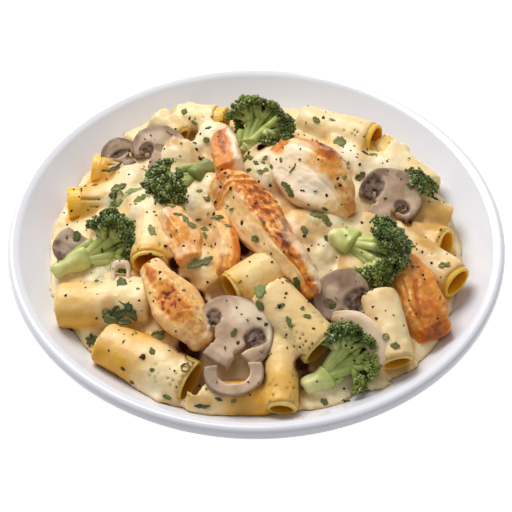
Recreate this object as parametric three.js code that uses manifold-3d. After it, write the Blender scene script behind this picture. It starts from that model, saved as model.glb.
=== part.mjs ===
// Chicken rigatoni in a creamy sauce, served in a wide coupe bowl.
// Millimetres, +Z up. Origin: centre of the bowl's foot, on the surface the bowl stands on. -Y is the side of the
// bowl nearest the person eating.
import * as THREE from "three";
import { mergeVertices } from "three/addons/utils/BufferGeometryUtils.js";
import Module from "manifold-3d";

// ---------------------------------------------------------------- driving dimensions
const RIM_R = 117.5; // outer radius of the rim
const RIM_Z = 42; // height of the rim above the table
const LIP_IN_R = 113; // radius where the lip turns down into the bowl
const WELL_Z = 9; // inside floor of the bowl at its centre
const WALL_RISE = 33; // rise of the inside from the centre to the lip
const FOOT_OUT_R = 52;
const FOOT_IN_R = 46;
const FOOT_H = 3;
const BOWL_SEGMENTS = 40;
const CLEAR = 0.3; // gap kept between neighbouring solids
const SAUCE_EDGE_R = 99.5; // radius where the sauce meets the bowl
const SAUCE_TOP_Z = 49; // height of the sauce in the middle of the heap
const HEAP_CENTRE_Y = -3; // the heap sits a little towards the front
const PASTA_WALL = 1.8; // wall of a cooked rigatoni
const HOLLOW_DEPTH = 9; // open depth of a tube end before the sauce

// Directions that the loose pieces on top share: they lie on the heap with their broad faces looking up and to the
// front, so FACE is that outward direction, UPHILL runs up the face and ACROSS runs along X.
const LEAN = 0.8307506;
const FACE = new THREE.Vector3(0, -Math.cos(LEAN), Math.sin(LEAN));
const UPHILL = new THREE.Vector3(0, Math.sin(LEAN), Math.cos(LEAN));
const ACROSS = new THREE.Vector3(1, 0, 0);

// Rigatoni: centre of the end that shows, centre of the other end, outside diameter, flattening (height over
// width), and how deep the end is open before the sauce fills it.
const RIGATONI = [
  [[-90.6, 20.7, 38], [-49.7, 23.4, 39.3], 16.5, 0.9, HOLLOW_DEPTH],
  [[-80.7, 45.1, 38], [-43, 42.2, 34.3], 15, 0.9, HOLLOW_DEPTH],
  [[-88.7, -44.9, 39], [-48.9, -45.5, 42.8], 21, 0.82, 0],
  [[-28, -88.2, 38.5], [-67.1, -65.9, 38.7], 21, 0.75, HOLLOW_DEPTH],
  [[-48.7, -28.6, 49], [-48.3, 2.3, 47], 17, 0.9, HOLLOW_DEPTH],
  [[11, -103.6, 38.9], [11.6, -65.6, 46], 13.4, 0.9, HOLLOW_DEPTH],
  [[28.6, -75.7, 46], [5, -51.2, 54.2], 20.5, 0.84, HOLLOW_DEPTH],
  [[61.6, -80.4, 41.2], [54.8, -48.6, 50.4], 14.8, 0.9, HOLLOW_DEPTH],
  [[89.2, -10.4, 41], [56, 9.9, 30.4], 17.4, 0.9, HOLLOW_DEPTH],
  [[92.3, -33.2, 41], [63.6, -2.6, 39.4], 17, 0.9, HOLLOW_DEPTH],
  [[59.8, 60.1, 43], [23.7, 78.8, 37.9], 16.5, 0.9, HOLLOW_DEPTH],
  [[-14.7, 70.9, 46], [-40.6, 77, 41.3], 15, 0.9, HOLLOW_DEPTH],
  [[-11.6, -47.2, 51.6], [20, -26, 53.5], 17.5, 0.9, HOLLOW_DEPTH],
  [[-37.1, 58.7, 45], [-49.6, 69.9, 47.2], 13, 0.9, HOLLOW_DEPTH],
  [[74.1, 54.6, 35], [36.5, 59.1, 38], 15, 0.9, 0],
  [[4.8, -95.8, 35.5], [-29.2, -95.6, 36], 15, 0.9, 0],
  [[91.7, 9.5, 37], [63.7, 19.1, 41.7], 15.5, 0.9, 0],
  [[-17.5, -40.5, 45.5], [-31.7, -18.6, 48.5], 15, 0.9, 0],
];
// Rigatoni that lie under the sauce and only swell its surface.
const BURIED = [
  [[-75, 5, 38], [-42, -4, 44], 16],
  [[4, 36, 47], [40, 44, 44], 16],
  [[-36, -46, 42], [-70, -36, 40], 16],
  [[44, -34, 44], [52, 0, 46], 16],
  [[74, -58, 29], [48, -72, 29], 15],
  [[-62, 60, 37], [-30, 84, 37], 16],
  [[-4, 84, 33], [28, 80, 33], 16],
  [[84, 32, 36], [60, 62, 37], 16],
];

// Chicken strips: stations along the piece, each [centre, half width, half thickness].
const CHICKEN = {
  chicken_strip_centre: [
    [[-11.8, 9.4, 59], 10.8, 10],
    [[-2.3, -7.3, 60], 12.5, 11],
    [[8.7, -24.8, 59], 9.1, 11],
    [[18.5, -36.8, 56], 6.8, 10],
    [[24.3, -45.9, 52], 5, 8],
  ],
  chicken_chunk_back: [
    [[13.8, 32, 57], 8, 9],
    [[20.4, 23.4, 60], 14, 12],
    [[28.4, 15.2, 60], 16, 13],
    [[36, 7, 57], 11.6, 12],
    [[39.6, 3.4, 53], 6.9, 9],
  ],
  chicken_bite_top: [
    [[-15.2, 42.5, 56.5], 5.8, 8],
    [[-14, 33.4, 57.5], 6.7, 9],
    [[-13, 25.2, 58], 6.6, 9],
  ],
  chicken_bite_left: [
    [[-38.2, -6.2, 54], 6.8, 8],
    [[-33.4, -17.9, 55], 8.6, 9],
    [[-30.4, -27.6, 54], 6, 8],
  ],
  chicken_bite_middle: [
    [[-14.9, -9.3, 54], 5.6, 8],
    [[-13.3, -23.2, 54], 6.4, 9],
    [[-13.6, -34.7, 53], 5.5, 8],
  ],
  chicken_strip_front_left: [
    [[-44.6, -38, 50.5], 6, 9],
    [[-36.8, -52.5, 52.5], 10.6, 11],
    [[-29.6, -63.6, 50.5], 10, 11],
    [[-25, -69.4, 46.5], 6.4, 9],
  ],
  chicken_strip_right: [
    [[68.9, -26, 43], 6.4, 8],
    [[70.2, -39, 45.5], 10.6, 10],
    [[73.8, -50.2, 43.5], 12, 10],
    [[78.2, -58.8, 39], 9.6, 9],
  ],
};

// Broccoli florets: cut end of the stem, centre of the crown, crown radius.
const BROCCOLI = {
  broccoli_back: [[-7.3, 44.4, 50.5], [0.1, 56.4, 53.4], 16.9],
  broccoli_back_left: [[-20.8, 29.8, 53], [-38.4, 16.8, 52.6], 15],
  broccoli_left: [[-94.4, -23.1, 38], [-68.5, -14.5, 45.5], 15],
  broccoli_right: [[34.3, -14.6, 52.2], [54, -26.4, 54.2], 16.2],
  broccoli_back_right: [[82.5, 4, 41.5], [80, 19.4, 43.2], 12],
  broccoli_front_right: [[21, -92.4, 38], [38.2, -79.4, 43], 15.5],
  broccoli_crumb_left: [[-64.7, -58.3, 43], [-60, -52.4, 45], 7],
};

// Mushroom slices: middle of the slice, turn of the cap in the face plane (degrees from +X, positive towards the
// front), cap width, height from stem to cap, thickness.
const MUSHROOM = {
  mushroom_back_left: [[-47.6, 50.4, 47], -88, 27, 23, 5],
  mushroom_far_left: [[-67, 48.2, 44], -130, 19, 18, 5],
  mushroom_left: [[-85.9, -11.9, 43], 120, 18, 18, 5],
  mushroom_right: [[64.2, 14.6, 49], -58, 31, 28, 5],
  mushroom_front: [[-9.5, -70.6, 51.5], -60, 36, 32, 5],
  mushroom_front_low: [[-9.6, -89.2, 46.5], 85, 26, 22, 6],
  mushroom_centre_right: [[38.2, -49.5, 50], -125, 27, 24, 5],
  mushroom_end_right: [[47.3, -69.1, 48], -35, 18, 13, 4],
  mushroom_bit_left: [[-61.2, -35.2, 49.5], -90, 9, 13, 4],
};

// ---------------------------------------------------------------- solids
const wasm = await Module();
wasm.setup();

const V = (p) => new THREE.Vector3(p[0], p[1], p[2]);

// A closed three.js geometry as a solid for joining and cutting.
function solid(geometry, volumeOnly = false) {
  const g = geometry.clone();
  for (const name of Object.keys(g.attributes)) if (name !== "position") g.deleteAttribute(name);
  const m = mergeVertices(g, 1e-4);
  const triVerts = new Uint32Array(m.index.array);
  const make = () =>
    new wasm.Manifold(new wasm.Mesh({ numProp: 3, vertProperties: new Float32Array(m.attributes.position.array), triVerts }));
  let s = make();
  if (volumeOnly) return s.volume();
  if (s.volume() < 0) {
    for (let i = 0; i < triVerts.length; i += 3) [triVerts[i + 1], triVerts[i + 2]] = [triVerts[i + 2], triVerts[i + 1]];
    s = make();
  }
  return s;
}

// The largest body of a solid, as a geometry whose tiny edges are closed up.
function geometryOf(s) {
  const best = s.decompose().reduce((a, b) => (b.volume() > a.volume() ? b : a));
  const mesh = best.getMesh();
  const p = [];
  for (let i = 0; i < mesh.numVert; i++) for (let k = 0; k < 3; k++) p.push(mesh.vertProperties[i * mesh.numProp + k]);
  const g = new THREE.BufferGeometry();
  g.setAttribute("position", new THREE.Float32BufferAttribute(p, 3));
  g.setIndex(Array.from(mesh.triVerts));
  g.computeVertexNormals();
  return g;
}

// The same closed surface moved out by at least `gap` everywhere, for the room a piece needs in its neighbours.
function swell(geometry, gap) {
  const g = geometry.clone();
  for (const name of Object.keys(g.attributes)) if (name !== "position") g.deleteAttribute(name);
  const m = mergeVertices(g, 1e-4);
  m.computeVertexNormals();
  const p = m.attributes.position, n = m.attributes.normal;
  const sign = solid(geometry, true) < 0 ? -1 : 1;
  for (let i = 0; i < p.count; i++)
    p.setXYZ(
      i,
      p.getX(i) + n.getX(i) * gap * 2.2 * sign,
      p.getY(i) + n.getY(i) * gap * 2.2 * sign,
      p.getZ(i) + n.getZ(i) * gap * 2.2 * sign,
    );
  return m;
}

// Revolves [radius, height] pairs round +Z.
function revolve(profile, segments) {
  return new THREE.LatheGeometry(profile.map(([r, z]) => new THREE.Vector2(r, z)), segments).rotateX(Math.PI / 2);
}

const insideZ = (r) => WELL_Z + WALL_RISE * Math.pow(r / LIP_IN_R, 3);
const INSIDE_RADII = [0, 32, 56, 76, 92, 104, 111.6];

function bowlGeometry() {
  const inside = INSIDE_RADII.slice(1).map((r) => [r, insideZ(r)]).reverse();
  const profile = [
    [0, 3.6],
    [FOOT_IN_R - 1.2, 3.4],
    [FOOT_IN_R, 0],
    [FOOT_OUT_R, 0],
    [FOOT_OUT_R + 1.2, FOOT_H + 1.2],
    [72, 10.6],
    [90, 19.8],
    [104, 29.6],
    [110, 33.6],
    [114.6, 34.5],
    [117.1, 36.4],
    [RIM_R, 39],
    [RIM_R - 1, 41.5],
    [RIM_R - 2.7, RIM_Z],
    [LIP_IN_R + 0.5, 41.4],
    ...inside,
    [0, insideZ(0)],
  ];
  return revolve(profile, BOWL_SEGMENTS);
}

// The room inside the bowl, kept clear of its surface, up to well above the rim.
function room(clear) {
  const profile = [0, 56, 92, 109].map((r) => [r, insideZ(r) + clear]);
  profile.push([110, 95], [0, 95]);
  return solid(revolve(profile, BOWL_SEGMENTS / 2));
}

// Sauce and everything under it: a low mound with an uneven top.
function moundGeometry() {
  const rings = 6;
  const top = [];
  for (let i = 0; i <= rings; i++) {
    const t = i / rings;
    const r = SAUCE_EDGE_R * Math.sin((t * Math.PI) / 2);
    top.push([r, 31.5 + (SAUCE_TOP_Z - 31.5) * Math.pow(Math.cos((t * Math.PI) / 2), 0.9)]);
  }
  const g = revolve([[0, 9], [SAUCE_EDGE_R, 9], ...top.reverse()], 24);
  const p = g.attributes.position;
  for (let i = 0; i < p.count; i++) {
    const x = p.getX(i), y = p.getY(i), z = p.getZ(i);
    const r = Math.hypot(x, y), a = Math.atan2(y, x);
    const wave = 1 + (0.018 * Math.sin(3 * a + 0.6) + 0.012 * Math.sin(7 * a + 1.9)) * Math.min(1, r / 60);
    const lift = z > 20 && r < 96 ? 1.2 * Math.sin(x * 0.11 + 0.4) * Math.sin(y * 0.13 + 1.1) : 0;
    p.setXYZ(i, x * wave, y * wave + HEAP_CENTRE_Y, z + lift);
  }
  return g;
}

// A straight tube between two points as a faceted prism; `flat` is its height over its width.
function rod(a, b, diameter, flat, sides, grow = 0) {
  const A = V(a), B = V(b);
  const axis = new THREE.Vector3().subVectors(B, A);
  const length = axis.length();
  axis.normalize();
  const side = new THREE.Vector3().crossVectors(axis, new THREE.Vector3(0, 0, 1)).normalize();
  const up = new THREE.Vector3().crossVectors(side, axis);
  const g = new THREE.CylinderGeometry(diameter / 2 + grow, diameter / 2 + grow, length + 2 * grow, sides, 1);
  g.scale(1, 1, (diameter * flat / 2 + grow) / (diameter / 2 + grow));
  g.applyMatrix4(new THREE.Matrix4().makeBasis(side, axis, up));
  const mid = A.add(B).multiplyScalar(0.5);
  return g.translate(mid.x, mid.y, mid.z);
}

function rigatoni([a, b, diameter, flat, open]) {
  const body = solid(rod(a, b, diameter, flat, 8));
  if (!open) return { body };
  const A = V(a), B = V(b);
  const axis = new THREE.Vector3().subVectors(B, A).normalize();
  const mouth = A.clone().addScaledVector(axis, -1);
  const end = A.clone().addScaledVector(axis, open);
  const hollow = rod(mouth.toArray(), end.toArray(), diameter - 2 * PASTA_WALL, flat * 0.97, 6);
  return { body, hollow: solid(hollow) };
}

// A lofted piece with rounded ends: stations of [centre, half width, half thickness], broad side facing FACE.
function loft(stations, { sides = 8, steps = 4, grow = 0, ripple = 0.05 } = {}) {
  const path = new THREE.CatmullRomCurve3(stations.map((s) => V(s[0])), false, "catmullrom", 0.5);
  const last = stations.length - 1;
  const lerp = (t, k) => {
    const f = Math.min(t * last, last - 1e-6), i = Math.floor(f);
    return stations[i][k] + (stations[i + 1][k] - stations[i][k]) * (f - i);
  };
  // Rings: [place along the path, how far past its end, size]. The ends are blunt, with rounded edges.
  const END = [[0.62, 0.5], [0.45, 0.84]];
  const rings = END.map(([past, size]) => [0, -past, size]);
  for (let i = 0; i <= steps; i++) rings.push([i / steps, 0, 1]);
  rings.push(...END.slice().reverse().map(([past, size]) => [1, past, size]));
  const rows = [];
  rings.forEach(([t, past, round], i) => {
    const hw = lerp(t, 1), hd = lerp(t, 2);
    const tangent = path.getTangent(t);
    const c = path.getPoint(t).addScaledVector(tangent, past * hd);
    const w = new THREE.Vector3().crossVectors(tangent, FACE).normalize();
    const n = new THREE.Vector3().crossVectors(w, tangent).normalize();
    const row = [];
    for (let k = 0; k < sides; k++) {
      const a = (2 * Math.PI * (k + 0.5)) / sides;
      const cs = Math.cos(a), sn = Math.sin(a);
      const box = Math.pow(Math.abs(cs) ** 3 + Math.abs(sn) ** 3, -1 / 3);
      const bump = 1 + ripple * Math.sin(3 * a + i * 1.7 + stations[0][0][0]);
      row.push(
        c.clone()
          .addScaledVector(w, hw * bump * box * round * cs)
          .addScaledVector(n, hd * bump * box * round * sn),
      );
    }
    rows.push(row);
  });
  return grow ? swell(skin(rows), grow) : skin(rows);
}

// Closes a stack of rings of equal count into a surface, with a fan at each end.
function skin(rows) {
  const sides = rows[0].length;
  const p = [];
  for (const row of rows) for (const v of row) p.push(v.x, v.y, v.z);
  for (const row of [rows[0], rows[rows.length - 1]]) {
    const c = row.reduce((s, v) => s.add(v), new THREE.Vector3()).multiplyScalar(1 / sides);
    p.push(c.x, c.y, c.z);
  }
  const first = rows.length * sides, last = first + 1;
  const index = [];
  for (let i = 0; i + 1 < rows.length; i++)
    for (let k = 0; k < sides; k++) {
      const a = i * sides + k, b = i * sides + ((k + 1) % sides), c = a + sides, d = b + sides;
      index.push(a, b, d, a, d, c);
    }
  for (let k = 0; k < sides; k++) {
    index.push(first, (k + 1) % sides, k);
    const o = (rows.length - 1) * sides;
    index.push(last, o + k, o + ((k + 1) % sides));
  }
  const g = new THREE.BufferGeometry();
  g.setAttribute("position", new THREE.Float32BufferAttribute(p, 3));
  g.setIndex(index);
  return g;
}

// A mushroom slice: cap arc, gill hollows either side of the stem, and the stem, cut to an even thickness.
function slice([centre, turn, width, height, thick], grow = 0) {
  const w = width / 2, h = height / 2;
  const shape = new THREE.Shape();
  if (height > width * 0.6) {
    const stem = w * 0.3;
    shape.moveTo(-stem, -h);
    shape.lineTo(stem, -h);
    shape.lineTo(stem * 0.85, -h * 0.1);
    shape.quadraticCurveTo(w * 0.55, h * 0.06, w * 0.72, -h * 0.22);
    shape.quadraticCurveTo(w * 1.0, -h * 0.25, w, h * 0.1);
    shape.bezierCurveTo(w * 0.95, h * 0.75, w * 0.5, h, 0, h);
    shape.bezierCurveTo(-w * 0.5, h, -w * 0.95, h * 0.75, -w, h * 0.1);
    shape.quadraticCurveTo(-w * 1.0, -h * 0.25, -w * 0.72, -h * 0.22);
    shape.quadraticCurveTo(-w * 0.55, h * 0.06, -stem * 0.85, -h * 0.1);
  } else {
    // An end slice: only the curved edge of the cap.
    shape.moveTo(-w, -h);
    shape.quadraticCurveTo(0, h * 0.1, w, -h);
    shape.bezierCurveTo(w * 0.9, h * 0.7, w * 0.45, h, 0, h);
    shape.bezierCurveTo(-w * 0.45, h, -w * 0.9, h * 0.7, -w, -h);
  }
  const g = new THREE.ExtrudeGeometry(shape, { depth: thick, bevelEnabled: false, curveSegments: 3, steps: 1 });
  g.translate(0, 0, -thick / 2);
  const normal = FACE.clone().multiplyScalar(0.5).add(new THREE.Vector3(0, 0, 0.5)).normalize();
  const a = THREE.MathUtils.degToRad(turn);
  const axis = ACROSS.clone().multiplyScalar(Math.cos(a)).addScaledVector(UPHILL, -Math.sin(a));
  axis.addScaledVector(normal, -axis.dot(normal)).normalize();
  const side = new THREE.Vector3().crossVectors(axis, normal);
  g.applyMatrix4(new THREE.Matrix4().makeBasis(side, axis, normal));
  g.translate(centre[0], centre[1], centre[2]);
  return grow ? swell(g, grow) : g;
}

// A broccoli floret: a tapered stem and a crown of rounded lobes. With `grow`, the plain room that it needs.
const LOBES = [[0.12, 0, 0.05, 0.82, 1], [-0.05, 0.5, 0.05, 0.55, 0], [-0.05, -0.5, 0.05, 0.55, 0], [0.3, 0.1, 0.3, 0.6, 0]];
function floret([cut, crown, radius], grow = 0) {
  const C = V(crown), S = V(cut);
  const axis = new THREE.Vector3().subVectors(C, S).normalize();
  const side = new THREE.Vector3().crossVectors(axis, FACE).normalize();
  const up = new THREE.Vector3().crossVectors(side, axis);
  const tail = Math.max(S.distanceTo(C), radius * 0.5);
  const stem = new THREE.CylinderGeometry(radius * 0.5 + grow, radius * 0.3 + grow, tail + 2 * grow, 7, 1);
  stem.translate(0, tail / 2, 0);
  stem.applyMatrix4(new THREE.Matrix4().makeBasis(side, axis, up));
  stem.translate(S.x, S.y, S.z);
  let s = solid(stem);
  for (const [along, across, out, size, detail] of grow ? [[0.05, 0, 0.1, 1.14, 1]] : LOBES) {
    const ball = new THREE.IcosahedronGeometry(radius * size + grow, detail);
    const p = C.clone().addScaledVector(axis, along * radius).addScaledVector(side, across * radius).addScaledVector(up, out * radius);
    ball.translate(p.x, p.y, p.z);
    s = s.add(solid(ball));
  }
  return s;
}

// ---------------------------------------------------------------- pieces, topmost first
const ROOM = room(0.35);
const builders = {
  chicken_chunk_back: (g) => solid(loft(CHICKEN.chicken_chunk_back, { grow: g })),
  chicken_strip_centre: (g) => solid(loft(CHICKEN.chicken_strip_centre, { grow: g, steps: 6 })),
  mushroom_front: (g) => solid(slice(MUSHROOM.mushroom_front, g)),
  mushroom_right: (g) => solid(slice(MUSHROOM.mushroom_right, g)),
  broccoli_back: (g) => floret(BROCCOLI.broccoli_back, g),
  broccoli_right: (g) => floret(BROCCOLI.broccoli_right, g),
  chicken_bite_top: (g) => solid(loft(CHICKEN.chicken_bite_top, { grow: g, steps: 3 })),
  broccoli_back_left: (g) => floret(BROCCOLI.broccoli_back_left, g),
  chicken_strip_front_left: (g) => solid(loft(CHICKEN.chicken_strip_front_left, { grow: g })),
  chicken_bite_left: (g) => solid(loft(CHICKEN.chicken_bite_left, { grow: g, steps: 3 })),
  chicken_bite_middle: (g) => solid(loft(CHICKEN.chicken_bite_middle, { grow: g, steps: 3 })),
  mushroom_end_right: (g) => solid(slice(MUSHROOM.mushroom_end_right, g)),
  broccoli_front_right: (g) => floret(BROCCOLI.broccoli_front_right, g),
  mushroom_centre_right: (g) => solid(slice(MUSHROOM.mushroom_centre_right, g)),
  chicken_strip_right: (g) => solid(loft(CHICKEN.chicken_strip_right, { grow: g })),
  mushroom_bit_left: (g) => solid(slice(MUSHROOM.mushroom_bit_left, g)),
  broccoli_left: (g) => floret(BROCCOLI.broccoli_left, g),
  mushroom_left: (g) => solid(slice(MUSHROOM.mushroom_left, g)),
  mushroom_back_left: (g) => solid(slice(MUSHROOM.mushroom_back_left, g)),
  mushroom_far_left: (g) => solid(slice(MUSHROOM.mushroom_far_left, g)),
  broccoli_back_right: (g) => floret(BROCCOLI.broccoli_back_right, g),
  mushroom_front_low: (g) => solid(slice(MUSHROOM.mushroom_front_low, g)),
  broccoli_crumb_left: (g) => floret(BROCCOLI.broccoli_crumb_left, g),
};

const group = new THREE.Group();
const finish = {
  bowl: { color: 0xe9e8ea, roughness: 0.15 },
  pasta: { color: 0xe9c98d, roughness: 0.45 },
  chicken: { color: 0xd99a5b, roughness: 0.55 },
  broccoli: { color: 0x4d6b2c, roughness: 0.6 },
  mushroom: { color: 0xc3a48c, roughness: 0.5 },
};
function add(name, geometry, look) {
  const mesh = new THREE.Mesh(geometry, new THREE.MeshStandardMaterial({ metalness: 0, ...finish[look] }));
  mesh.name = name;
  group.add(mesh);
}

add("bowl", bowlGeometry(), "bowl");

let heap = solid(moundGeometry());
const hollows = [];
for (const r of RIGATONI) {
  const { body, hollow } = rigatoni(r);
  heap = heap.add(body);
  if (hollow) hollows.push(hollow);
}
for (const [a, b, diameter] of BURIED) heap = heap.add(solid(rod(a, b, diameter, 0.92, 5)));
heap = heap.intersect(ROOM);
for (const h of hollows) heap = heap.subtract(h);

const taken = [];
for (const [name, build] of Object.entries(builders)) {
  let s = build(0).intersect(ROOM);
  for (const t of taken) s = s.subtract(t);
  const grown = build(CLEAR);
  taken.push(grown);
  heap = heap.subtract(grown);
  add(name, geometryOf(s), name.split("_")[0]);
}
add("pasta_heap", geometryOf(heap), "pasta");

export default group;
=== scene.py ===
import bpy
import math
import numpy as np
from mathutils import Matrix, Vector
from mathutils.bvhtree import BVHTree


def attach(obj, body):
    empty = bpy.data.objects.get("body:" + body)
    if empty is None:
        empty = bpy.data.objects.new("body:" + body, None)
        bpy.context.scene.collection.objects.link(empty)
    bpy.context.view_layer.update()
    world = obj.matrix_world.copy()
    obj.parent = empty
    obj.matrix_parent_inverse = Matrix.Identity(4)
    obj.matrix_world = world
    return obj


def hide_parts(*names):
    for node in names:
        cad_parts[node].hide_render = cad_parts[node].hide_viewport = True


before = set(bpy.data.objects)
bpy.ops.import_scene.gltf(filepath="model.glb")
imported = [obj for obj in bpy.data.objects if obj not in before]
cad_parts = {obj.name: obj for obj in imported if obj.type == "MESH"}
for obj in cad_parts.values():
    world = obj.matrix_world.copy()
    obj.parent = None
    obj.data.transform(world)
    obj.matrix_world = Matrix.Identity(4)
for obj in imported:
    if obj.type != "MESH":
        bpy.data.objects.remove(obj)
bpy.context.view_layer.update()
MM = 0.001

# ------------------------------------------------------------------ shared directions (same as the CAD)
LEAN = 0.8307506
FACE = np.array([0.0, -math.cos(LEAN), math.sin(LEAN)])
UPHILL = np.array([0.0, math.sin(LEAN), math.cos(LEAN)])
ACROSS = np.array([1.0, 0.0, 0.0])
Z = np.array([0.0, 0.0, 1.0])


def unit(v):
    v = np.asarray(v, float)
    return v / np.linalg.norm(v)


def inside_z(r):
    return 9.0 + 33.0 * (np.asarray(r) / 113.0) ** 3


# ------------------------------------------------------------------ seeded noise
def _hash(ix, iy, iz, seed):
    h = (ix.astype(np.int64) * 374761393 + iy.astype(np.int64) * 668265263 + iz.astype(np.int64) * 2147483647 + seed * 1274126177) & 0xFFFFFFFF
    h = ((h ^ (h >> 13)) * 1274126177) & 0xFFFFFFFF
    h = (h ^ (h >> 16)) & 0xFFFFFFFF
    return h.astype(np.float64) / 4294967295.0


def vnoise(P, size, seed=0):
    """Smooth value noise in -1..1 at points P (n, 3), with features about `size` mm across."""
    q = np.asarray(P, float) / size
    i = np.floor(q).astype(np.int64)
    f = q - i
    f = f * f * f * (f * (f * 6 - 15) + 10)
    out = 0.0
    for dx in (0, 1):
        wx = f[:, 0] if dx else 1 - f[:, 0]
        for dy in (0, 1):
            wy = f[:, 1] if dy else 1 - f[:, 1]
            for dz in (0, 1):
                wz = f[:, 2] if dz else 1 - f[:, 2]
                out = out + wx * wy * wz * _hash(i[:, 0] + dx, i[:, 1] + dy, i[:, 2] + dz, seed)
    return out * 2 - 1


def fbm(P, size, seed=0, octaves=3, gain=0.5):
    out, amp, tot = 0.0, 1.0, 0.0
    for o in range(octaves):
        out = out + amp * vnoise(P, size / 2**o, seed + 17 * o)
        tot += amp
        amp *= gain
    return out / tot


def sstep(a, b, x):
    t = np.clip((np.asarray(x, float) - a) / (b - a), 0, 1)
    return t * t * (3 - 2 * t)


# ------------------------------------------------------------------ mesh building
class Mesh:
    """Collects vertices (mm), faces and named per-vertex values, then makes one object."""

    def __init__(self):
        self.v, self.f3, self.f4, self.n = [], [], [], 0
        self.attr = {}

    def add(self, verts, f3=None, f4=None, **attrs):
        verts = np.asarray(verts, float).reshape(-1, 3)
        if f3 is not None and len(f3):
            self.f3.append(np.asarray(f3, np.int64) + self.n)
        if f4 is not None and len(f4):
            self.f4.append(np.asarray(f4, np.int64) + self.n)
        for k in set(self.attr) | set(attrs):
            lst = self.attr.setdefault(k, [np.zeros(self.n)] if self.n else [])
            val = attrs.get(k, 0.0)
            lst.append(np.broadcast_to(np.asarray(val, float), (len(verts),)).copy())
        self.v.append(verts)
        self.n += len(verts)

    def build(self, name, material, nodes=(), slot=None, smooth=True):
        V = np.concatenate(self.v) * MM
        F3 = np.concatenate(self.f3) if self.f3 else np.zeros((0, 3), np.int64)
        F4 = np.concatenate(self.f4) if self.f4 else np.zeros((0, 4), np.int64)
        me = bpy.data.meshes.new(name)
        me.vertices.add(len(V))
        me.vertices.foreach_set("co", V.astype(np.float32).ravel())
        loops = np.concatenate([F3.ravel(), F4.ravel()]).astype(np.int32)
        me.loops.add(len(loops))
        me.loops.foreach_set("vertex_index", loops)
        me.polygons.add(len(F3) + len(F4))
        starts = np.concatenate([np.arange(len(F3)) * 3, len(F3) * 3 + np.arange(len(F4)) * 4]).astype(np.int32)
        me.polygons.foreach_set("loop_start", starts)
        me.update(calc_edges=True)
        me.validate()
        me.polygons.foreach_set("use_smooth", np.full(len(me.polygons), smooth, dtype=bool))
        for k, parts in self.attr.items():
            a = me.attributes.new(k, "FLOAT", "POINT")
            a.data.foreach_set("value", np.concatenate(parts).astype(np.float32))
        me.materials.append(material)
        ob = bpy.data.objects.new(name, me)
        bpy.context.scene.collection.objects.link(ob)
        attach(ob, "root")
        if nodes:
            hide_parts(*nodes)
        BUILT.append(ob)
        return ob


def grid_faces(rows, cols, wrap=True, flip=False):
    """Quads of a rows x cols vertex grid; `wrap` joins the last column to the first."""
    i = np.arange(rows - 1)[:, None]
    k = np.arange(cols if wrap else cols - 1)[None, :]
    a = i * cols + k
    b = i * cols + (k + 1) % cols
    q = np.stack([a, b, b + cols, a + cols], -1).reshape(-1, 4)
    return q[:, ::-1] if flip else q


def surface_nets(F, origin, h):
    """Closed quad mesh of the F < 0 region of a sampled field."""
    s = F < 0
    nx, ny, nz = F.shape
    c = np.zeros((nx - 1, ny - 1, nz - 1), np.int8)
    corners = [(a, b, d) for a in (0, 1) for b in (0, 1) for d in (0, 1)]
    for a, b, d in corners:
        c += s[a : nx - 1 + a, b : ny - 1 + b, d : nz - 1 + d]
    mask = (c > 0) & (c < 8)
    cells = np.argwhere(mask)
    idx = np.full(mask.shape, -1, np.int64)
    idx[mask] = np.arange(len(cells))
    acc = np.zeros((len(cells), 3))
    cnt = np.zeros(len(cells))
    for a in corners:
        for ax in range(3):
            if a[ax]:
                continue
            b = list(a)
            b[ax] = 1
            Fa = F[cells[:, 0] + a[0], cells[:, 1] + a[1], cells[:, 2] + a[2]]
            Fb = F[cells[:, 0] + b[0], cells[:, 1] + b[1], cells[:, 2] + b[2]]
            m = (Fa < 0) != (Fb < 0)
            t = np.where(m, Fa / np.where(m, Fa - Fb, 1), 0)
            p = np.array(a, float)[None, :] + np.zeros((len(cells), 3))
            p[:, ax] += t
            acc[m] += p[m]
            cnt[m] += 1
    V = (cells + acc / cnt[:, None]) * h + np.asarray(origin)
    quads = []
    for ax in range(3):
        u, w = [(1, 2), (2, 0), (0, 1)][ax]
        lo = [slice(0, n) for n in F.shape]
        hi = [slice(0, n) for n in F.shape]
        lo[ax], hi[ax] = slice(0, F.shape[ax] - 1), slice(1, F.shape[ax])
        sa, sb = s[tuple(lo)], s[tuple(hi)]
        e = np.argwhere(sa != sb)
        e = e[(e[:, u] > 0) & (e[:, w] > 0) & (e[:, u] < F.shape[u] - 1) & (e[:, w] < F.shape[w] - 1)]
        def at(du, dw):
            g = e.copy()
            g[:, u] -= du
            g[:, w] -= dw
            return idx[g[:, 0], g[:, 1], g[:, 2]]
        q = np.stack([at(1, 1), at(0, 1), at(0, 0), at(1, 0)], -1)
        inside = sa[e[:, 0], e[:, 1], e[:, 2]]
        q[~inside] = q[~inside][:, ::-1]
        quads.append(q)
    Q = np.concatenate(quads)
    return V, Q[(Q >= 0).all(1)]


def smin(a, b, k):
    t = np.clip(0.5 + 0.5 * (b - a) / k, 0, 1)
    return b * (1 - t) + a * t - k * t * (1 - t)


# ------------------------------------------------------------------ materials
def srgb(r, g, b):
    return tuple(((c / 255) / 12.92 if c / 255 <= 0.04045 else ((c / 255 + 0.055) / 1.055) ** 2.4) for c in (r, g, b)) + (1.0,)


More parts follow.
